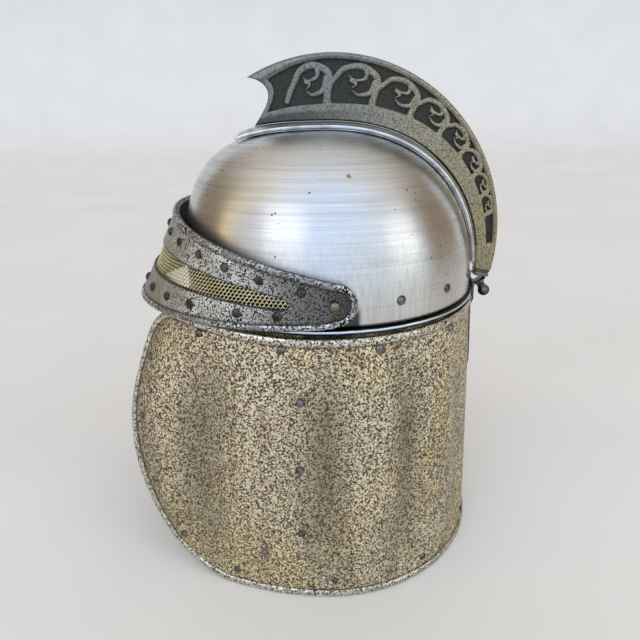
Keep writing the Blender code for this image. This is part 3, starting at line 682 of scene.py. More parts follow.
def bronze_tints(tree):
    """Champagne with gold patches, a rosy blush and an olive patina in the flutes' valleys."""
    patch = grain(tree, place_of(tree, (1, 1, 0.5)), 24.0, 3.0, 0.6)
    gold = ramp(tree, patch, (0.46, 0.0), (0.66, 0.9))
    metal = blend_colour(tree, gold, (0.82, 0.72, 0.52), (0.90, 0.76, 0.41))
    blush = grain(tree, place_of(tree, (1.4, 1.4, 0.7)), 31.0, 4.0, 0.6)
    metal = blend_colour(tree, ramp(tree, blush, (0.52, 0.0), (0.72, 0.55)), metal, (0.42, 0.29, 0.21))
    stain = maths(tree, "MULTIPLY", attribute(tree, "valley"), ramp(tree, patch, (0.30, 1.0), (0.75, 0.45)))
    stain = maths(tree, "MAXIMUM", stain, attribute(tree, "front"))
    metal = blend_colour(tree, scaled(tree, stain, 0.80), metal, (0.22, 0.205, 0.15))
    streak = grain(tree, place_of(tree, (1, 1, 0.12)), 60.0, 3.0)
    return blend_colour(tree, ramp(tree, streak, (0.34, 0.35), (0.5, 0.0)), metal, (0.30, 0.26, 0.20))


def gunmetal_tints(tree):
    """Silver grey at the sides, olive brown over the brow, black towards the pivots."""
    point = place_of(tree)
    forward = maths(tree, "ADD", forward_of_place(tree), scaled(tree, grain(tree, point, 45.0, 3.0), 0.03))
    metal = ramp(tree, maths(tree, "ADD", scaled(tree, forward, 4.0), 0.1),
                 (0.08, (0.032, 0.032, 0.036)), (0.22, (0.24, 0.24, 0.235)), (0.42, (0.82, 0.82, 0.75)),
                 (0.66, (0.27, 0.24, 0.175)))
    cloud = grain(tree, point, 70.0, 3.0)
    return blend_colour(tree, ramp(tree, cloud, (0.40, 0.4), (0.55, 0.0)), metal, (0.16, 0.155, 0.14))


def bare_brow(tree):
    """1 over the visor's brow, where the pattern is rubbed away, and 0 at its sides."""
    return ramp(tree, scaled(tree, forward_of_place(tree), 5.0), (0.44, 0.0), (0.62, 0.85))


def worn_edge(name, light, dark, scale, level, worn):
    """A rolled edge rubbed bright, with dark mottling left in its hollows and painted shade on its flanks.
    """
    material, tree = new_material(name, 0.9)
    point = place_of(tree)
    mottle = veins(tree, scale, level)
    rub = grain(tree, point, 55.0, 4.0, 0.65)
    metal = ramp(tree, grain(tree, point, 260.0, 3.0), (0.35, tuple(0.6 * part for part in light)),
                 (0.62, light))
    tone = blend_colour(tree, mottle, dark, metal)
    tone = blend_colour(tree, ramp(tree, rub, (worn, 0.0), (worn + 0.2, 0.75)), tone,
                        tuple(0.36 * part for part in light))
    # Painted shade: the roll's flanks, beside the sheet, turn to the dark colour; the crown keeps the rubbed
    # metal as wear.
    tone = blend_colour(tree, ramp(tree, attribute(tree, "crown"), (0.15, 0.85), (0.60, 0.0)), tone, dark)
    polish = ramp(tree, mottle, (0.0, 0.52), (1.0, 0.30))
    normal = bump(tree, grain(tree, point, 160.0, 2.0), 0.0008, 0.45)
    return plug_in(material, tone, polish, bump(tree, mottle, 0.0002, 0.5, normal))


def cast_metal():
    """Sand-cast relief: bright pewter turning to brass along the tail, with black in the recesses and
    painted shade along the border and low on the foot band's front.
    """
    material, tree = new_material("crest_cast", 0.85)
    point = place_of(tree)
    sand = grain(tree, point, 1000.0, 3.0, 0.7)
    speck = ramp(tree, grain(tree, point, 1250.0, 1.0, 0.5, 0.4), (0.38, 0.0), (0.50, 1.0))
    cloud = grain(tree, point, 60.0, 3.0)
    warm = maths(tree, "ADD", attribute(tree, "along"), centred(tree, cloud, 0.4))
    metal = ramp(tree, warm, (0.22, (0.22, 0.225, 0.21)), (0.50, (0.34, 0.30, 0.21)),
                 (0.85, (0.37, 0.315, 0.185)))
    metal = blend_colour(tree, speck, (0.095, 0.085, 0.06), metal)
    floor = ramp(tree, sand, (0.35, (0.026, 0.028, 0.022)), (0.70, (0.105, 0.108, 0.090)))
    edge = maths(tree, "ADD", attribute(tree, "relief"), centred(tree, sand, 0.30))
    tone = blend_colour(tree, ramp(tree, edge, (0.25, 0.0), (0.62, 1.0)), floor, metal)
    # Painted shade: a dark line inside the raised border and on the low front of the foot band.
    shade = maths(tree, "MULTIPLY", attribute(tree, "crest_shade"), ramp(tree, cloud, (0.3, 1.0), (0.7, 0.7)))
    tone = blend_colour(tree, shade, tone, (0.035, 0.034, 0.032))
    polish = ramp(tree, edge, (0.3, 0.72), (0.9, 0.33))
    return plug_in(material, tone, polish, bump(tree, speck, 0.00015, 0.5, bump(tree, sand, 0.00030, 0.5)))


def mesh_brass():
    material, tree = new_material("screen_brass")
    patch = grain(tree, place_of(tree), 90.0, 3.0)
    tone = ramp(tree, patch, (0.3, (0.74, 0.64, 0.34)), (0.6, (0.95, 0.90, 0.60)))
    polish = ramp(tree, patch, (0.3, 0.45), (0.7, 0.30))
    return plug_in(material, tone, polish, bump(tree, grain(tree, place_of(tree), 1500.0, 2.0), 0.0001, 0.3))


def rivet_metal(name, dark, bright, shine=0.28):
    """Blackened heads rubbed through to the metal on top."""
    material, tree = new_material(name)
    point = place_of(tree)
    cloud = grain(tree, point, 160.0, 4.0, 0.6)
    tone = ramp(tree, cloud, (0.36, dark), (0.66, bright))
    polish = ramp(tree, cloud, (0.3, shine + 0.16), (0.7, shine))
    normal = bump(tree, grain(tree, point, 900.0, 3.0), 0.00015, 0.4, bump(tree, cloud, 0.0006, 0.5))
    return plug_in(material, tone, polish, normal)


def dark_strap():
    material, tree = new_material("blackened_steel", 0.9)
    cloud = grain(tree, place_of(tree), 70.0, 5.0, 0.65)
    tone = ramp(tree, cloud, (0.32, (0.035, 0.036, 0.042)), (0.55, (0.13, 0.13, 0.135)),
                (0.75, (0.27, 0.25, 0.22)))
    polish = ramp(tree, cloud, (0.3, 0.55), (0.8, 0.32))
    return plug_in(material, tone, polish, bump(tree, cloud, 0.0007, 0.6))


def leather():
    material, tree = new_material("headband_leather", 0.0)
    point = place_of(tree)
    pores = add(tree, "ShaderNodeTexVoronoi", {"Vector": point, "Scale": 1400.0}).outputs["Distance"]
    cloud = grain(tree, point, 45.0, 4.0)
    tone = ramp(tree, cloud, (0.3, (0.060, 0.028, 0.014)), (0.7, (0.15, 0.075, 0.038)))
    polish = ramp(tree, cloud, (0.3, 0.52), (0.7, 0.74))
    normal = bump(tree, grain(tree, point, 240.0, 3.0), 0.0006, 0.4, bump(tree, pores, 0.0003, 0.5))
    return plug_in(material, tone, polish, normal)


def felt():
    material, tree = new_material("crown_pad_felt", 0.0, Sheen_Weight=0.4)
    point = place_of(tree)
    fibre = grain(tree, point, 1600.0, 6.0, 0.75, 1.5)
    cloud = grain(tree, point, 60.0, 3.0)
    tone = ramp(tree, fibre, (0.3, (0.050, 0.047, 0.042)), (0.7, (0.16, 0.15, 0.135)))
    tone = blend_colour(tree, ramp(tree, cloud, (0.4, 0.0), (0.7, 0.4)), tone, (0.12, 0.10, 0.08))
    polish = ramp(tree, fibre, (0.2, 0.95), (0.8, 0.82))
    return plug_in(material, tone, polish, bump(tree, fibre, 0.0006, 0.7))


def thread():
    material, tree = new_material("liner_thread", 0.0)
    twist = grain(tree, place_of(tree, (1, 1, 2.5)), 1700.0, 2.0)
    tone = ramp(tree, twist, (0.3, (0.30, 0.25, 0.17)), (0.7, (0.52, 0.45, 0.33)))
    polish = ramp(tree, twist, (0.3, 0.85), (0.7, 0.7))
    return plug_in(material, tone, polish, bump(tree, twist, 0.0002, 0.6))


# ---------------------------------------------------------------- skull, collar and liner


def make_skull():
    """The dome, spun thin, with waves under a tenth of a millimetre that bend its reflections."""
    lifts = np.sin(np.linspace(0, pi / 2, SKULL_ROWS))[:, None] * SKULL_HEIGHT
    turns = circle(ROUND_STEPS)[None, :]
    points = skull_surface(turns, lifts)
    inward = unit(CENTRE - points)
    points = points + inward * (SKULL_WAVES * (1 + roughness_at(points, 45.0)))[..., None]
    skull = grid_object("look_skull", points, PAINT["skull"], around=True)
    # visor_shade is 1 on the dome below the visor's top edge, where the material paints the visor's shade.
    visor_turns, _, visor_high = visor_columns(0.0, 60)
    top = np.interp(turn_from_front(turns), visor_turns, visor_high, right=-0.01)
    paint_points(skull, "visor_shade", smooth_step(top - 0.004 - lifts, 0.0, 0.007))
    thicken(edit_mesh(skull, weld=1e-6), SKULL_THICKNESS, -1)
    show(skull, "helmet", "brushed_pewter", "skull")


def make_collar():
    """The steel ring in the skull's lower edge, with a rolled flange that shines below it."""
    leg = -SKULL_THICKNESS - GAP
    roll = (COLLAR_DROP + COLLAR_THICKNESS) / 2 - 1.5 * GAP
    centre = (leg + COLLAR_FLANGE - roll, -3 * GAP - roll)
    arc = np.linspace(pi / 2, -pi / 2, 14)
    flange = [(centre[0] + roll * cos(a), centre[1] + roll * sin(a)) for a in arc]
    foot = centre[1] - roll
    inner = leg - COLLAR_THICKNESS
    section = [(inner, foot), (inner, COLLAR_LAP), (leg, COLLAR_LAP), (leg, -3 * GAP)] + flange
    rings = []
    for outward, height in section:
        widths = [width + outward for width in skull_widths(max(height, 0.0))]
        rings.append(oval(circle(ROUND_STEPS), *widths, BASE_Z + height))
    collar = grid_object("look_collar_ring", np.array(rings), PAINT["collar_ring"], around=True, closed=True)
    show(edit_mesh(collar), "helmet", "polished_steel", "collar_ring")


def make_headband():
    """A folded leather band with a stitched edge above and below."""
    low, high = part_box("headband")
    heights = np.linspace(low.z, high.z, 26)[:, None] - BASE_Z
    share = (heights - heights[0]) / (heights[-1] - heights[0])
    puff = 0.0005 * np.sin(pi * share) ** 0.5 - 0.0005
    widths = [width - HEADBAND_INSET + puff for width in skull_widths(heights)]
    rows = oval(circle(200)[None, :], *widths, BASE_Z + heights)
    band = grid_object("look_headband", rows, PAINT["leather"], around=True)
    thicken(band, HEADBAND_THICKNESS, -1)
    round_edges(band, 0.0006)
    show(band, "helmet", "liner_leather", "headband")
    stitches = []
    for height in (low.z + STITCH_MARGIN - BASE_Z, high.z - STITCH_MARGIN - BASE_Z):
        inset = HEADBAND_INSET + HEADBAND_THICKNESS + GAP
        inner = [width - inset for width in skull_widths(height)]
        for step in range(STITCH_COUNT):
            ends = np.array([step + 0.14, step + 0.72]) / STITCH_COUNT * 2 * pi
            stitches.append(oval(ends, *inner, BASE_Z + height))
    points, faces = tubes([np.linspace(*pair, 5) for pair in stitches], STITCH_RADIUS, 6, bow=0.0003)
    seam = mesh_object("look_headband_stitches", points, faces, PAINT["thread"])
    show(edit_mesh(seam), "helmet", "liner_leather")


def tubes(paths, radius, sides, bow):
    """Closed round tubes along short paths, rising by bow in the middle, towards the helmet's inside."""
    points, faces = [], []
    angles = circle(sides)
    for path in paths:
        count = len(path)
        inward = unit((np.array([0, CENTRE_Y, 0]) - path) * np.array([1, 1, 0]))
        share = np.linspace(0, 1, count)[:, None]
        path = path + inward * bow * np.sin(pi * share)
        ahead = unit(np.gradient(path, axis=0))
        across = unit(np.cross(ahead, inward))
        lift = np.cross(across, ahead)
        girth = radius * np.sqrt(np.clip(1 - (2 * share - 1) ** 6, 0.05, 1))
        ring = across[:, None] * np.cos(angles)[:, None] + lift[:, None] * np.sin(angles)[:, None]
        start = sum(len(block) for block in points)
        points.append((path[:, None] + ring * girth[:, None]).reshape(-1, 3))
        faces += grid_faces(count, sides, around=True, start=start).tolist()
        faces.append([start + side for side in range(sides)][::-1])
        faces.append([start + (count - 1) * sides + side for side in range(sides)])
    return np.concatenate(points), faces


def make_crown_pad():
    """A stuffed felt pad under the crown: sewn panels that swell between their seams."""
    leans = np.linspace(0.0, PAD_REACH, 40)[:, None]
    turns = circle(160)[None, :]
    direction = joined(np.sin(leans) * np.sin(turns), -np.sin(leans) * np.cos(turns), np.cos(leans))
    share = leans / PAD_REACH
    seams = np.abs(np.sin(PAD_PANELS / 2 * turns)) ** 0.45
    ring_seam = 1 - np.exp(-(((share - 0.30) / 0.05) ** 2)) * 0.45
    swell = mix(0.55, 1.0, seams * smooth_step(share, 0.02, 0.2)) * ring_seam
    depth = 0.0030 + 0.0048 * swell * np.sqrt(np.clip(1 - share**6, 0, 1))
    outer = skull_along(direction) - direction * 0.0023
    outer = outer - direction * (0.0022 * share**8)[..., None]
    inner = outer - direction * (depth - 0.0014 * share**10)[..., None]
    rings = np.concatenate([outer, inner[::-1]])
    pad = edit_mesh(grid_object("look_crown_pad", rings, PAINT["felt"], around=True), weld=1e-6)
    show(pad, "helmet", "liner_felt", "crown_pad")


# ---------------------------------------------------------------- rail and crest


def make_rail():
    """Two strips on the skull with a dark slit between them, forked to points at the front."""
    layers = (
        ("look_rail_lower", 0.99, 0.0006, 0.0012, 0.0012, PAINT["rail_lower"], ()),
        ("look_crest_rail", 1.0, 0.0016, 0.0036, RAIL_HEIGHT, PAINT["rail"], ("crest_rail",)),
    )
    for name, reach, under, edge, crown, material, nodes in layers:
        shares = np.linspace(-1, 1, 33)
        top = edge + (crown - edge) * smooth_step(1 - np.abs(shares), 0.0, 0.35)
        across = np.concatenate([shares, shares[::-1]]) * reach
        section = np.stack([across, np.concatenate([np.full(33, under), top[::-1]])], axis=-1)
        stations = np.linspace(0, 1, 220)[:, None]
        start = RAIL_FRONT - RAIL_TIP * np.abs(section[:, 0]) ** 1.6
        sweeps = mix(start, RAIL_BACK, stations)
        lateral = np.broadcast_to(section[:, 0] * RAIL_HALF_WIDTH / SKULL_HEIGHT, sweeps.shape)
        direction = midline_direction(sweeps, lateral)
        points = skull_along(direction) + direction * section[:, 1][None, :, None]
        rail = grid_object(name, points, material, around=True)
        show(edit_mesh(rail, fill=True), "helmet", "polished_steel", *nodes)


def crest_rim(angle):
    parts = (CREST_LENGTH * np.cos(angle), CREST_HEIGHT * np.sin(angle))
    return CREST_CENTRE + np.stack(parts, axis=-1)


def crest_foot(sweep_angle):
    direction = midline_direction(sweep_angle)
    return (skull_along(direction) + direction * (RAIL_HEIGHT + GAP))[..., 1:]


def crest_point(along, across):
    """(y, z) on the crest: along goes from the tip (0) to the tail (1), across from foot to rim."""
    rim = crest_rim(mix(CREST_TIP, CREST_TAIL, along))
    foot = crest_foot(mix(CREST_FOOT_FRONT, CREST_FOOT_BACK, along))
    point = foot + (rim - foot) * across[..., None]
    notch = CREST_NOTCH * np.sin(pi * (1 - across) ** NOTCH_SKEW)
    point[..., 0] += notch * (1 - smooth_step(along, 0.0, 0.24))
    return point


def curve_through(points, count):
    """A smooth curve through a few (x, y) points."""
    points = np.array(points, float)
    padded = np.concatenate([[2 * points[0] - points[1]], points, [2 * points[-1] - points[-2]]])
    places = np.linspace(0, len(points) - 1 - 1e-9, count)
    index = places.astype(int)
    t = (places - index)[:, None]
    a, b, c, d = (padded[index + step] for step in range(4))
    return 0.5 * (2 * b + (c - a) * t + (2 * a - 5 * b + 4 * c - d) * t**2 + (3 * b - a - 3 * c + d) * t**3)


def wave_band(along):
    """The lowest and highest share across the crest that the scroll fills."""
    low = mix(BAND_SHARE, 0.50, smooth_step(along, 0.15, 0.90))
    high = mix(0.84, 0.82, along)
    return low, high


def scroll_strokes():
    """(points, radii) of each stroke of the running scroll, in the crest's own plane."""
    strokes = []
    start, width = WAVE_START, WAVE_FIRST
    for number in range(WAVE_COUNT):
        arch_end = [(0.02, 0.50), (0.0, 0.18)] if number == 0 else [(0.08, 0.66), (-0.04, 0.46)]
        shapes = (
            ([(1.04, -0.20), (0.95, 0.06), (0.96, 0.46)], (1.25, 0.85)),
            ([(0.96, 0.46), (0.90, 0.80), (0.58, 1.0), (0.24, 0.90)] + arch_end, (1.0, 0.75)),
            ([(0.90, 0.62), (0.84, 0.34), (0.62, 0.24), (0.46, 0.34)], (1.0, 0.22)),
            ([(0.66, 0.98), (0.68, 0.70), (0.48, 0.62), (0.34, 0.72)], (0.75, 0.18)),
            ([(0.40, 0.60), (0.52, 0.52), (0.44, 0.40)], (0.55, 0.16)),
        )
        for control, (first, last) in shapes:
            path = curve_through(control, 34)
            along = start + path[:, 0] * width
            low, high = wave_band(along)
            centre = crest_point(along, mix(low, high, path[:, 1]))
            size = 0.0012 + 0.0130 * width
            strokes.append((centre, size * np.linspace(first, last, len(path))))
        start, width = start + width, width * WAVE_SHRINK
    return strokes


def scroll_rise(plane):
    """How much of the full relief, 0 to 1, the scroll gives each (y, z) point."""
    rise = np.zeros(plane.shape[:-1])
    for centres, radii in scroll_strokes():
        reach = radii.max()
        low, high = centres.min(axis=0) - reach, centres.max(axis=0) + reach
        near = np.all((plane > low) & (plane < high), axis=-1)
        offset = plane[near][:, None] - centres[None]
        away = np.sqrt(np.sum(offset**2, axis=-1)) / radii[None]
        dome = np.sqrt(np.clip(1 - away.min(axis=1) ** 2, 0.0, 1.0))
        rise[near] = np.maximum(rise[near], np.minimum(dome * 1.15, 1.0))
    return rise


def make_crest():
    """The cast crest: a raised border, a speckled foot band and the scroll, alike on both faces."""
    along, across = np.meshgrid(np.linspace(0, 1, CREST_COLUMNS), np.linspace(0, 1, CREST_ROWS))
    plane = crest_point(along, across)
    length = np.linalg.norm(np.diff(plane[CREST_ROWS // 2], axis=0), axis=1).sum()
    width = np.linalg.norm(plane[-1] - plane[0], axis=-1)[None, :]
    from_rim = (1 - across) * width
    from_end = along * length * 0.80
    border = 1 - smooth_step(from_rim, RIM_BORDER, RIM_BORDER + 0.0010)
    crescent = 1 - smooth_step(from_end, 0.0030, 0.0042)
    band_top = wave_band(along)[0]
    band = 1 - smooth_step(across, band_top - 0.020, band_top + 0.020)
    band = band * smooth_step(across * width, 0.0, 0.0012) * 0.94
    block = smooth_step(along, SLOT_END, SLOT_END + 0.012)
    rise = np.maximum.reduce([border, crescent, band, block, scroll_rise(plane) * 0.93])
    # Where the material paints shade: a line inside the raised border, and the lower part of the foot band
    # at the front.
    rim_line = np.exp(-(((from_rim - RIM_BORDER * 0.80) / 0.0005) ** 2))
    under_band = (1 - smooth_step(across / band_top, 0.45, 0.75)) * (1 - smooth_step(along, 0.12, 0.42))
    crest_shade = np.maximum(0.7 * rim_line, 0.85 * under_band) * (1 - block)
    edge = np.minimum.reduce([from_rim, from_end + 0.0004, across * width + 0.0006])
    half = CREST_FLOOR + (CREST_HALF_WIDTH - CREST_FLOOR) * rise
    half = half * mix(0.62, 1.0, np.sqrt(np.clip(1 - (1 - edge / 0.0022).clip(0, 1) ** 2, 0, 1)))
    sand = roughness_at(joined(plane[..., 0], plane[..., 1], 0.0), 900.0)
    half = half + 0.00012 * sand * (1.2 - rise)
    left = joined(half, plane[..., 0], plane[..., 1])
    right = left * np.array([-1, 1, 1])
    count = CREST_ROWS * CREST_COLUMNS
    face = grid_faces(CREST_ROWS, CREST_COLUMNS)
    index = np.arange(count).reshape(CREST_ROWS, CREST_COLUMNS)
    loop = np.concatenate([index[0], index[1:, -1], index[-1, -2::-1], index[-2:0:-1, 0]])
    following = np.roll(loop, -1)
    wall = np.stack([loop, following, following + count, loop + count], axis=-1)
    faces = np.concatenate([face, face + count, wall])
    crest = mesh_object("look_crest", np.concatenate([left, right]), faces, PAINT["crest"])
    for name, values in (("relief", rise), ("along", along), ("crest_shade", crest_shade)):
        paint_points(crest, name, np.tile(values.ravel(), 2))
    show(edit_mesh(crest), "helmet", "cast_pewter", "crest_casting")


def tail_frame():
    """The middle of the crest's tail end, and the direction it runs on in there, as points in space."""
    rim, foot = crest_rim(np.array(CREST_TAIL)), crest_foot(np.array(CREST_FOOT_BACK))
    middle, line = (rim + foot) / 2, unit(rim - foot)
    return Vector((0, *middle)), Vector((0, line[1], -line[0]))


def make_socket_and_finial():
    """The dark socket that caps the tail, and the ball-headed screw that leans back under it."""
    place, down = tail_frame()
    half_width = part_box("crest_socket")[1].x
    across = np.array(down.cross(Vector((1, 0, 0))))
    levels = ((0.0, 0.90), (0.12, 1.0), (0.34, 1.0), (0.42, 0.90), (0.58, 0.90), (0.66, 1.0), (0.88, 1.0),
              (1.0, 0.86))
    angles = circle(48)
    wide = squared_off(np.cos(angles), 0.35)[:, None] * half_width * np.array([1, 0, 0])
    deep = squared_off(np.sin(angles), 0.35)[:, None] * SOCKET_HALF_DEPTH * across
    rings = []
    for level, girth in levels:
        centre = np.array(place + down * (GAP + SOCKET_HEIGHT * level))
        rings.append(centre + (wide + deep) * girth)
    socket = grid_object("look_crest_socket", np.array(rings), PAINT["strap"], around=True)
    show(edit_mesh(socket, fill=True), "helmet", "gunmetal", "crest_socket")
    clearance = SOCKET_HEIGHT + 2 * GAP + FINIAL_FLARE * sin(FINIAL_TILT)
    away = Matrix.Rotation(FINIAL_TILT, 3, "X") @ down
    start = np.arcsin(FINIAL_NECK / FINIAL_BALL)
    ball = [(FINIAL_BALL * sin(a), FINIAL_DROP - FINIAL_BALL * cos(a)) for a in np.linspace(start, pi, 18)]
    neck = [(0, 0), (FINIAL_FLARE * 0.9, 0), (FINIAL_FLARE, 0.0004), (FINIAL_FLARE, 0.0011),
            (FINIAL_FLARE * 0.85, 0.0018), (FINIAL_NECK * 1.2, 0.0030), (FINIAL_NECK, 0.0042)]
    profile = [(radius, -reach) for radius, reach in neck + ball]
    finial = lathe("look_crest_finial", profile, place + down * clearance, -away, PAINT["rivet_dark"])
    show(finial, "helmet", "rivet_bronze", "crest_finial")


# ---------------------------------------------------------------- curtain


def rim_height(turn):
    """The height of the curtain's rim, which climbs towards the face."""
    return RIM_Z - BASE_Z + RIM_RISE * smooth_step(-turn_from_front(turn), -RISE_START, -RISE_END)


def corner_lift(radius, along):
    """How far a rounded corner rises off its level edge, this far along from its upright edge."""
    share = np.clip(along / radius, 0.0, 1.0)
    return radius * (1 - np.sqrt(1 - (1 - share) ** 2))


def curtain_columns(inset, count):
    """Turns at the rim, lowest and highest heights of the curtain's columns, this far inside its edge."""
    turn_per_length = 1 / hypot(RIM_SIDE * cos(CURTAIN_EDGE_TURN), RIM_FRONT * sin(CURTAIN_EDGE_TURN))
    edge_turn = CURTAIN_EDGE_TURN + inset * turn_per_length
    hem_corner, rim_corner = HEM_CORNER - inset, RIM_CORNER - inset
    start = edge_turn + hem_corner * turn_per_length
    angle = np.linspace(0, pi / 2, CORNER_STEPS, endpoint=False)
    turn = start - hem_corner * turn_per_length * np.cos(angle)
    turns = np.concatenate([turn, np.linspace(start, 2 * pi - start, count), 2 * pi - turn[::-1]])
    along = (turn_from_front(turns) - edge_turn) / turn_per_length
    low = inset - BASE_Z + corner_lift(hem_corner, along)
    return turns, low, rim_height(turns) - inset - corner_lift(rim_corner, along)


def spread_turn(turn, height):
    """The turn at this height of the column at that turn on the rim: they spread backwards lower down."""
    from_front = turn_from_front(turn)
    drop = (RIM_Z - BASE_Z - height) / RIM_Z
    spread = CURTAIN_SPREAD * drop * (pi - from_front) / (pi - CURTAIN_EDGE_TURN)
    return turn + np.where(turn < pi, spread, -spread)


def curtain_sheet(turn, height):
    return curtain_surface(spread_turn(turn, height), height)


def edge_loop(columns, surface, spacing):
    """(turn, height) pairs evenly spaced once round the edge of a sheet given by its columns."""
    turns, low, high = columns
    rise = np.linspace(0, 1, 60)[1:-1]
    far = joined(turns[-1], mix(low[-1], high[-1], rise))
    near = joined(turns[0], mix(high[0], low[0], rise))
    bottom, top = joined(turns, low), joined(turns, high)
    loop = np.concatenate([bottom, far, top[::-1], near, bottom[:1]])
    steps = np.linalg.norm(np.diff(surface(loop[:, 0], loop[:, 1]), axis=0), axis=1)
    distance = np.concatenate([[0], np.cumsum(steps)])
    even = np.arange(0, distance[-1], spacing)
    return np.interp(even, distance, loop[:, 0]), np.interp(even, distance, loop[:, 1])


def edge_roll(name, columns, surface, half_thickness, half_width, spacing, lump, material):
    """A rounded roll along the edge of a sheet, with dents up to lump of its thickness deep."""
    turn, height = edge_loop(columns, surface, spacing)
    centres = surface(turn, height)
    outward = normal_of(surface, turn, height)
    angles = circle(ROLL_STEPS)
    round_x = squared_off(np.cos(angles), 0.85)
    round_y = squared_off(np.sin(angles), 0.85)
    crown = np.broadcast_to(np.abs(np.cos(angles)), (len(centres), ROLL_STEPS))
    ring_points = centres[:, None] + outward[:, None] * round_x[:, None] * 0.004
    dents = 1 + lump * roughness_at(ring_points, 120.0) + lump * 0.6 * roughness_at(ring_points, 310.0)
    section = np.stack([round_x * half_thickness * dents, round_y * half_width * dents], axis=-1)
    roll = sweep(name, centres, outward, section, material)
    # crown is 1 on the roll's outer and inner faces and 0 on its flanks, where the material paints shade.
    paint_points(roll, "crown", crown)
    return roll


def make_curtain():
    turns, low, high = curtain_columns(2 * BINDING_HALF_WIDTH - 0.0010, CURTAIN_COLUMNS)
    share = np.linspace(0, 1, CURTAIN_ROWS)[:, None]
    arc = HEM_SIDE * np.abs(turns - turns[0])
    from_front_edge = np.minimum(arc, arc[::-1]) + 0 * share
    turns, heights = turns + 0 * share, mix(low, high, share)
    curtain = grid_object("look_curtain", curtain_sheet(turns, heights), PAINT["curtain"])
    from_edge = np.minimum.reduce([heights - low, high - heights, from_front_edge])
    # inset is 0 at the sheet's edges and sets where the material paints shade beside the binding.
    paint_points(curtain, "inset", np.clip(from_edge / GROOVE, 0, 1))
    drop = np.clip(1 - (BASE_Z + heights) / RIM_Z, 0.0, 1.0)
    strength, valley = flutes(spread_turn(turns, heights), drop)
    paint_points(curtain, "valley", valley * strength)
    paint_points(curtain, "front", np.clip(1 - from_front_edge / 0.020, 0, 1) * mix(0.4, 0.9, share))
    thicken(curtain, CURTAIN_THICKNESS, 0)
    show(curtain, "helmet", "vein_bronze", "curtain")
    columns = curtain_columns(BINDING_HALF_WIDTH, CURTAIN_COLUMNS)
    binding = edge_roll("look_curtain_binding", columns, curtain_sheet, BINDING_HALF_THICKNESS,
                        BINDING_HALF_WIDTH, 0.0015, 0.10, PAINT["binding"])
    show(binding, "helmet", "edge_steel", "curtain_binding")


def strap_outward(height):
    """How far the rear strap's inner face stands off the curtain: it steps out over the binding."""
    below_binding = RIM_Z - BASE_Z - 2 * BINDING_HALF_WIDTH - height
    rise = smooth_step(1 - below_binding / STRAP_STEP, 0.0, 1.0)
    return mix(CURTAIN_THICKNESS / 2 + GAP, BINDING_HALF_THICKNESS + 2 * GAP, rise)


def make_rear_strap():
    half_turn = np.arcsin(STRAP_HALF_WIDTH / RIM_SIDE)
    share = np.linspace(0, 1, 90)[:, None]
    heights = mix(STRAP_BOTTOM, STRAP_TOP, share)
    narrowing = np.sqrt(1 - (1 - np.minimum(1.0, 0.12 + share * 4)) ** 2)
    turns = pi + half_turn * narrowing * np.linspace(-1, 1, 15)[None, :]
    points = off_surface(curtain_surface, turns, heights, strap_outward(heights)[..., None])
    strap = grid_object("look_rear_strap", points, PAINT["strap"])
    thicken(strap, STRAP_THICKNESS, 1)
    round_edges(strap, 0.0005)
    show(strap, "helmet", "gunmetal", "rear_strap")


# ---------------------------------------------------------------- rivets


def rivet_mesh(places, normals, radius, height, seed):
    """Points and faces of domed heads with a slight hammered flat and a thin foot."""
    random = np.random.RandomState(seed)
    arc = np.linspace(0, pi / 2, 9)
    profile = np.array([(sin(a), cos(a)) for a in arc[1:]] + [(1.0, -0.25)])
    sides = range(RIVET_STEPS)
    points, faces = [], []
    for place, normal in zip(places, normals):
        girth = radius * random.uniform(0.93, 1.05)
        rise = height * random.uniform(0.9, 1.05)
        lean = np.array([*random.uniform(-0.10, 0.10, 2), 0])
        ring = turned(profile, RIVET_STEPS)
        flat = 1 - 0.12 * np.clip(ring @ unit(np.array([*random.uniform(-1, 1, 2), 1.2])) - 0.9, 0, 1)
        ring = (ring * flat[..., None] * np.array([girth, girth, rise])).reshape(-1, 3)
        local = np.concatenate([[[0, 0, rise]], ring])
        local = local + lean * np.clip(local[:, 2:], 0, None)
        start = len(points) * len(local)
        points.append(local @ basis_along(normal).T + place)
        faces += [[start, start + 1 + side, start + 1 + (side + 1) % RIVET_STEPS] for side in sides]
        faces += grid_faces(len(profile), RIVET_STEPS, around=True, start=start + 1)[:, ::-1].tolist()
        last = start + 1 + (len(profile) - 1) * RIVET_STEPS
        faces.append([last + side for side in sides][::-1])
    return np.concatenate(points), faces


def rivet_group(name, surface, turns, heights, lift, material, body, radius, seed):
    """One piece that holds every rivet of a row, each standing this far off the surface's middle."""
    normals = normal_of(surface, turns, heights)
    places = surface(turns, heights) + normals * lift
    points, faces = rivet_mesh(places, normals, radius, radius * RIVET_HEIGHT / RIVET_RADIUS, seed)
    group = mesh_object(name, points, faces, material)
    show(edit_mesh(group), body, "rivet_bronze")


def make_frame_rivets():
    """The rivets that are nodes of their own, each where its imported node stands."""
    nodes = [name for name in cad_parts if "_rivet_" in name]
    for number, name in enumerate(sorted(nodes)):
        low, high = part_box(name)
        middle = np.array(low + high) / 2
        if name.startswith("skull"):
            normal = unit(middle - CENTRE - UP * 0.010)
        else:
            normal = unit((middle - CENTRE) * np.array([1, 1, 0]))
        foot = middle - normal * RIVET_HEIGHT / 2
        points, faces = rivet_mesh([foot], [normal], RIVET_RADIUS, RIVET_HEIGHT, 100 + number)
        material = PAINT["rivet_blue"] if name.startswith("strap") else PAINT["rivet_dark"]
        rivet = mesh_object("look_" + name, points, faces, material)
        show(edit_mesh(rivet), "helmet", "rivet_bronze", name)


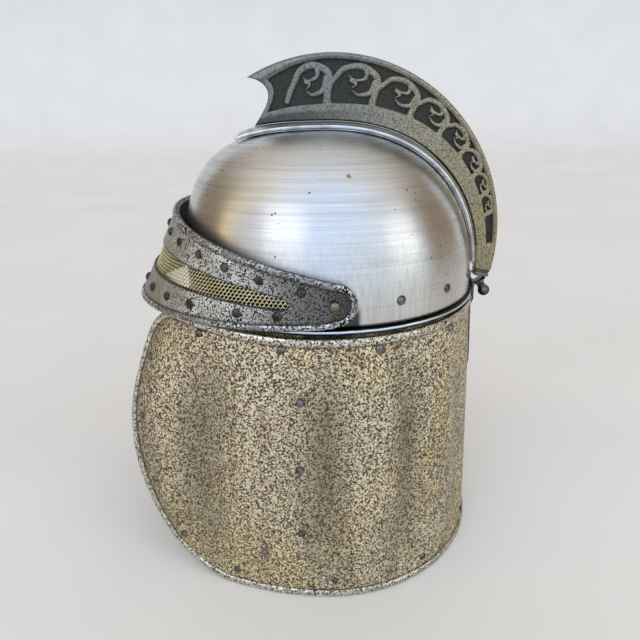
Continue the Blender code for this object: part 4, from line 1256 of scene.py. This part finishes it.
def make_curtain_rivets():
    """Small rivets inside the binding: down the front edges, along the hem and along the top."""
    column_turns, low, _ = curtain_columns(2 * BINDING_HALF_WIDTH + RIVET_INSET, 200)
    edge_heights = np.array(EDGE_RIVETS)
    on_rim = np.interp(edge_heights, low[CORNER_STEPS - 1::-1], column_turns[CORNER_STEPS - 1::-1])
    edge = spread_turn(on_rim, edge_heights)
    hem = np.radians(HEM_RIVET_TURNS)
    hem_heights = np.full(len(hem), low.min() + HEM_RIVET_LIFT)
    top = np.radians(TOP_RIVET_TURNS)
    top_heights = rim_height(top) - 2 * BINDING_HALF_WIDTH - TOP_RIVET_INSET
    turns = np.concatenate([edge, hem, top, [STAY_SIDE_TURN]])
    heights = np.concatenate([edge_heights, hem_heights, top_heights, [STAY_SIDE_HEIGHT]])
    turns, heights = np.concatenate([turns, 2 * pi - turns]), np.tile(heights, 2)
    rivet_group("curtain_rivets", curtain_surface, turns, heights, CURTAIN_THICKNESS / 2,
                PAINT["rivet_dark"], "helmet", 0.0030, 7)


# ---------------------------------------------------------------- visor


def visor_columns(inset, count):
    """Turns, lowest and highest heights of the visor's columns, this far inside its edge."""
    radius = VISOR_END_RADIUS - inset
    last_turn = pi / 2 + np.arcsin(PIVOT_Y / VISOR_BACK)
    turn = np.linspace(0, last_turn, count)
    rise = (VISOR_TOP - PIVOT_HEIGHT - VISOR_END_RADIUS) * np.cos(turn / last_turn * pi / 2)
    angle = np.linspace(0, pi / 2, 24)[1:-1]
    end_turn = pi / 2 + np.arcsin((PIVOT_Y + radius * np.sin(angle)) / VISOR_BACK)
    turns = np.concatenate([turn, end_turn])
    drop = VISOR_DROP * np.sqrt(np.clip(np.cos(turn / last_turn * pi / 2), 0, 1))
    low = PIVOT_HEIGHT - np.concatenate([radius + drop, radius * np.cos(angle)])
    high = PIVOT_HEIGHT + np.concatenate([radius + rise, radius * np.cos(angle)])
    both = [np.concatenate([part[:0:-1], part]) for part in (low, high)]
    return np.concatenate([-turns[:0:-1], turns]), both[0], both[1]


def window_span(turn, margin=0.0):
    """The window's lowest and highest height at this turn. Past its end both are the middle's."""
    share = np.minimum(np.abs(turn) / WINDOW_TURN, 1.0) ** WINDOW_POWER
    low = mix(WINDOW_BOTTOM, WINDOW_END_BOTTOM, share)
    high = mix(WINDOW_TOP, WINDOW_END_TOP, share)
    past = np.clip((np.abs(turn) - WINDOW_ROUND_TURN) / (WINDOW_TURN - WINDOW_ROUND_TURN), 0.0, 1.0)
    half = (high - low) / 2 * np.sqrt(1 - past**2) + margin
    middle = (low + high) / 2
    return middle - half, middle + half


def make_visor_plate():
    """The plate with its window cut through: each column runs up to the window and on above it."""
    edge_turns, edge_low, edge_high = visor_columns(2 * VISOR_ROLL - 0.0008, 60)
    inner = WINDOW_TURN * np.sin(np.linspace(0, pi / 2, 130))
    outer = np.linspace(WINDOW_TURN, edge_turns[-1], 34)[1:]
    half = np.concatenate([inner, outer])
    turns = np.concatenate([-half[:0:-1], half])
    low, high = np.interp(turns, edge_turns, edge_low), np.interp(turns, edge_turns, edge_high)
    window_low, window_high = window_span(turns)
    share = np.linspace(0, 1, PLATE_ROWS)[:, None]
    lower, upper = mix(low, window_low, share), mix(window_high, high, share)
    count = len(turns)
    heights = np.concatenate([lower, upper])
    points = visor_surface(turns[None, :] + 0 * heights, heights)
    sheet = grid_faces(PLATE_ROWS, count)
    faces = np.concatenate([sheet, sheet + PLATE_ROWS * count])
    plate = mesh_object("look_visor_plate", points, faces, PAINT["visor"])
    from_window = np.maximum(window_low - heights, heights - window_high)
    from_window = from_window + VISOR_SIDE * np.clip(np.abs(turns) - WINDOW_TURN, 0, 1)
    from_edge = np.minimum.reduce([heights - low, high - heights, from_window * 2])
    # inset is 0 at the rims and the window and sets where the material paints shade beside them.
    paint_points(plate, "inset", np.clip(from_edge / GROOVE, 0, 1))
    edit_mesh(plate, weld=1e-6, face_out=False)
    thicken(plate, VISOR_THICKNESS, 0)
    round_edges(plate, 0.0004)
    show(plate, "visor", "gunmetal", "visor_plate")


def make_visor_binding():
    binding = edge_roll("look_visor_binding", visor_columns(VISOR_ROLL, 160), visor_surface,
                        VISOR_ROLL, VISOR_ROLL, 0.0011, 0.07, PAINT["visor_rim"])
    show(binding, "visor", "edge_steel", "visor_binding")


def make_visor_screen():
    """Expanded brass mesh behind the window: wavy ribbons that meet at every crest."""
    outward = -(VISOR_THICKNESS / 2 + GAP + 2 * STRAND_HALF_THICKNESS)
    lowest, highest = WINDOW_END_BOTTOM - SCREEN_MARGIN, WINDOW_TOP + SCREEN_MARGIN
    fine_turn = np.linspace(-WINDOW_TURN - 0.03, WINDOW_TURN + 0.03, 4000)
    path = visor_surface(fine_turn, np.full(4000, WINDOW_BOTTOM))
    distance = np.concatenate([[0], np.cumsum(np.linalg.norm(np.diff(path, axis=0), axis=1))])
    half_cells = int(distance[-1] / SCREEN_CELL * 2)
    turns = np.interp(np.arange(half_cells) * SCREEN_CELL / 2, distance, fine_turn)
    points, faces = [], []
    for row in range(int((highest - lowest) / SCREEN_ROW)):
        height = lowest + row * SCREEN_ROW
        wave = (np.arange(half_cells) % 2 * 2 - 1) * (1 if row % 2 else -1)
        heights = height + wave * SCREEN_ROW * 0.36
        span_low, span_high = window_span(turns, SCREEN_MARGIN)
        inside = (heights > span_low) & (heights < span_high)
        for run in np.split(np.arange(half_cells), np.flatnonzero(np.diff(inside.astype(int))) + 1):
            if inside[run[0]] and len(run) > 2:
                add_ribbon(points, faces, turns[run], heights[run], outward)
    screen = mesh_object("look_visor_mesh", np.concatenate(points), faces, PAINT["brass"])
    show(edit_mesh(screen), "visor", "brass_mesh", "visor_mesh")


def add_ribbon(points, faces, turns, heights, outward):
    """One strand of the expanded mesh: a flat ribbon, tilted as the slitting leaves it."""
    centre = off_surface(visor_surface, turns, heights, outward)
    normal = normal_of(visor_surface, turns, heights)
    up = unit(UP - normal * normal[:, 2:])
    ring = []
    for wide, thick in ((1, 1), (1, -1), (-1, -1), (-1, 1)):
        outward_step = thick * STRAND_HALF_THICKNESS + wide * STRAND_TILT
        ring.append(centre + up * (wide * STRAND_HALF_WIDTH) + normal * outward_step)
    ring = np.stack(ring, axis=1)
    start = sum(len(block) for block in points)
    points.append(ring.reshape(-1, 3))
    faces.extend(grid_faces(len(turns), 4, around=True, start=start).tolist())
    last = start + (len(turns) - 1) * 4
    faces.extend([[start + 3, start + 2, start + 1, start], [last, last + 1, last + 2, last + 3]])


def make_visor_rivets():
    """The upper row follows the rim, and the lower row runs under the window."""
    upper = np.radians([-85.5, -73.5, -62, -50.5, -38, -26, -13, 0, 13, 26, 38, 50.5, 62, 73.5, 85.5])
    _, window_high = window_span(upper)
    edge_turns, _, edge_high = visor_columns(2 * VISOR_ROLL, 60)
    rim = np.interp(upper, edge_turns, edge_high)
    heights = np.minimum(mix(window_high, rim, 0.60), rim - 0.0065)
    rivet_group("visor_rivets_upper", visor_surface, upper, heights, VISOR_THICKNESS / 2,
                PAINT["rivet_blue"], "visor", 0.0031, 3)
    lower = np.radians([0, 13.5, 27.4, 40, 51.6, 68.0, 79.4])
    lower = np.concatenate([-lower[:0:-1], lower])
    rivet_group("visor_rivets_lower", visor_surface, lower, 0 * lower + LOWER_ROW, VISOR_THICKNESS / 2,
                PAINT["rivet_brown"], "visor", 0.0034, 5)


def make_pivots():
    """The headed pins the visor turns on, in bare metal."""
    for side, sign in (("left", 1), ("right", -1)):
        low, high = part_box("visor_pivot_" + side)
        outer, inner = (high.x, low.x) if sign > 0 else (-low.x, -high.x)
        head_radius = (high.z - low.z) / 2
        start = outer - PIN_HEAD_HEIGHT
        arc = np.linspace(0, pi / 2, 14)
        head = [(head_radius * sin(a), start + PIN_HEAD_HEIGHT * cos(a)) for a in arc]
        pin = [(PIN_RADIUS, start), (PIN_RADIUS, inner + 0.0003), (PIN_RADIUS - 0.0003, inner), (0, inner)]
        place = Vector((0, (low.y + high.y) / 2, (low.z + high.z) / 2))
        pivot = lathe("look_visor_pivot_" + side, head + pin, place, (sign, 0, 0), PAINT["pivot"])
        show(pivot, "helmet", "rivet_bronze", "visor_pivot_" + side)


def paint_kept_nodes():
    """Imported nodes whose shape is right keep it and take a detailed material."""
    kept = {"mesh_frame": "strap"}
    for side in ("left", "right"):
        kept["side_stay_" + side] = "strap"
        kept["pivot_spacer_" + side] = "collar"
        kept["pivot_nut_" + side] = "collar"
    for name, paint in kept.items():
        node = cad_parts[name]
        node.data.materials.clear()
        node.data.materials.append(PAINT[paint])


# ---------------------------------------------------------------- floor, light and camera


def make_stage():
    """A pale floor that curves up into a backdrop far behind, and soft light like an overcast day's."""
    curve = [(FLOOR_REACH, -FLOOR_DROP)]
    for angle in np.linspace(0, pi / 2, 16):
        curve.append((-FLOOR_REACH - FLOOR_BEND * sin(angle), FLOOR_BEND * (1 - cos(angle)) - FLOOR_DROP))
    curve.append((-FLOOR_REACH - FLOOR_BEND, 6.0))
    sides = np.array([[(x, y, z) for x, z in curve] for y in (-9, 9)])
    floor = grid_object("studio_floor", sides, plain_floor())
    edit_mesh(floor)
    make_sky()
    soft_light("key", (1.5, -0.9, 1.5), 1.0, 1.0, 4.4, (0.92, 0.96, 1.0))
    soft_light("side", (0.9, 1.6, 1.0), 0.8, 0.8, 2.3, (1.0, 0.95, 0.86))


def make_sky():
    """A bluish sky on the left side (+X), warm walls round the rest, a pale roof and one golden glint."""
    world = bpy.data.worlds.new("studio")
    bpy.context.scene.world = world
    world.use_nodes = True
    tree = world.node_tree
    direction = add(tree, "ShaderNodeTexCoord").outputs["Generated"]
    parts = add(tree, "ShaderNodeSeparateXYZ", {0: direction})
    wall = ramp(tree, parts.outputs[2], (0.55, (0.33, 0.25, 0.165)), (0.95, (0.95, 0.93, 0.90)))
    across = ramp(tree, maths(tree, "ADD", scaled(tree, parts.outputs[1], 0.5), 0.5),
                  (0.10, (0.90, 0.92, 0.98)), (0.50, (1.10, 1.34, 1.80)), (0.85, (1.02, 1.15, 1.27)))
    towards = ramp(tree, parts.outputs[0], (0.06, 0.0), (0.24, 1.0))
    sky = blend_colour(tree, towards, wall, across)
    glint = ramp(tree, parts.outputs[0], (0.10, 0.0), (0.15, 1.0), (0.19, 1.0), (0.24, 0.0))
    left = ramp(tree, maths(tree, "MULTIPLY", parts.outputs[1], -1.0), (0.3, 0.0), (0.5, 1.0))
    sky = blend_colour(tree, maths(tree, "MULTIPLY", glint, left), sky, (2.0, 1.5, 0.60))
    tree.links.new(sky, tree.nodes["Background"].inputs["Color"])
    tree.nodes["Background"].inputs["Strength"].default_value = 1.0


def plain_floor():
    material, tree = new_material("studio_floor", 0.0, Roughness=0.7)
    cloud = grain(tree, place_of(tree), 3.0, 2.0)
    return plug_in(material, ramp(tree, cloud, (0.3, (0.76, 0.71, 0.64)), (0.7, (0.80, 0.75, 0.68))))


def soft_light(name, place, width, depth, power, colour):
    data = bpy.data.lights.new(name, "AREA")
    data.shape = "RECTANGLE"
    data.size, data.size_y = width, depth
    data.energy = power
    data.color = colour
    lamp = bpy.data.objects.new(name, data)
    lamp.location = place
    lamp.rotation_euler = (Vector((0, 0, 0.2)) - Vector(place)).to_track_quat("-Z", "Y").to_euler()
    lamp.visible_camera = False
    bpy.context.scene.collection.objects.link(lamp)


def make_camera():
    """Looks at the helmet's left side from a little above it."""
    bpy.context.scene.view_settings.view_transform = "Standard"
    data = bpy.data.cameras.new("camera")
    data.lens = LENS
    data.sensor_width = SENSOR_WIDTH
    data.clip_start = 0.01
    camera = bpy.data.objects.new("camera", data)
    back = CAMERA_RIGHT.cross(CAMERA_UP).normalized()
    up = back.cross(CAMERA_RIGHT).normalized()
    rotation = Matrix((CAMERA_RIGHT.normalized(), up, back)).transposed()
    camera.matrix_world = Matrix.Translation(CAMERA_PLACE) @ rotation.to_4x4()
    bpy.context.scene.collection.objects.link(camera)
    bpy.context.scene.camera = camera


PAINT = {
    "skull": brushed_pewter(),
    "collar": polished_steel("fitting_steel", -0.10),
    "collar_ring": banded_steel_and_shade(),
    "rail": polished_steel("rail_steel", 0.02),
    "rail_lower": polished_steel("rail_lower_steel", 0.18),
    "curtain": vein_finish("curtain_vein", bronze_tints, (0.110, 0.074, 0.032), 700.0, 0.405, 14.0,
                           cells=430.0),
    "binding": worn_edge("curtain_edge", (0.80, 0.73, 0.58), (0.075, 0.058, 0.036), 820.0, 0.42, 0.56),
    "visor": vein_finish("visor_vein", gunmetal_tints, (0.022, 0.022, 0.021), 900.0, 0.405, 20.0, bare_brow),
    "visor_rim": worn_edge("visor_edge", (0.64, 0.64, 0.62), (0.012, 0.012, 0.013), 700.0, 0.47, 0.41),
    "crest": cast_metal(),
    "brass": mesh_brass(),
    "rivet_dark": rivet_metal("rivet_bronze_dark", (0.050, 0.042, 0.038), (0.23, 0.20, 0.18), 0.22),
    "rivet_blue": rivet_metal("rivet_blue_black", (0.026, 0.026, 0.029), (0.10, 0.10, 0.105)),
    "rivet_brown": rivet_metal("rivet_brown", (0.028, 0.024, 0.024), (0.14, 0.12, 0.12)),
    "pivot": rivet_metal("pivot_bare", (0.15, 0.12, 0.09), (0.30, 0.25, 0.19), 0.30),
    "strap": dark_strap(),
    "leather": leather(),
    "felt": felt(),
    "thread": thread(),
}

make_camera()
make_stage()
make_skull()
make_collar()
make_headband()
make_crown_pad()
make_rail()
make_crest()
make_socket_and_finial()
make_curtain()
make_rear_strap()
make_frame_rivets()
make_curtain_rivets()
make_visor_plate()
make_visor_binding()
make_visor_screen()
make_visor_rivets()
make_pivots()
paint_kept_nodes()
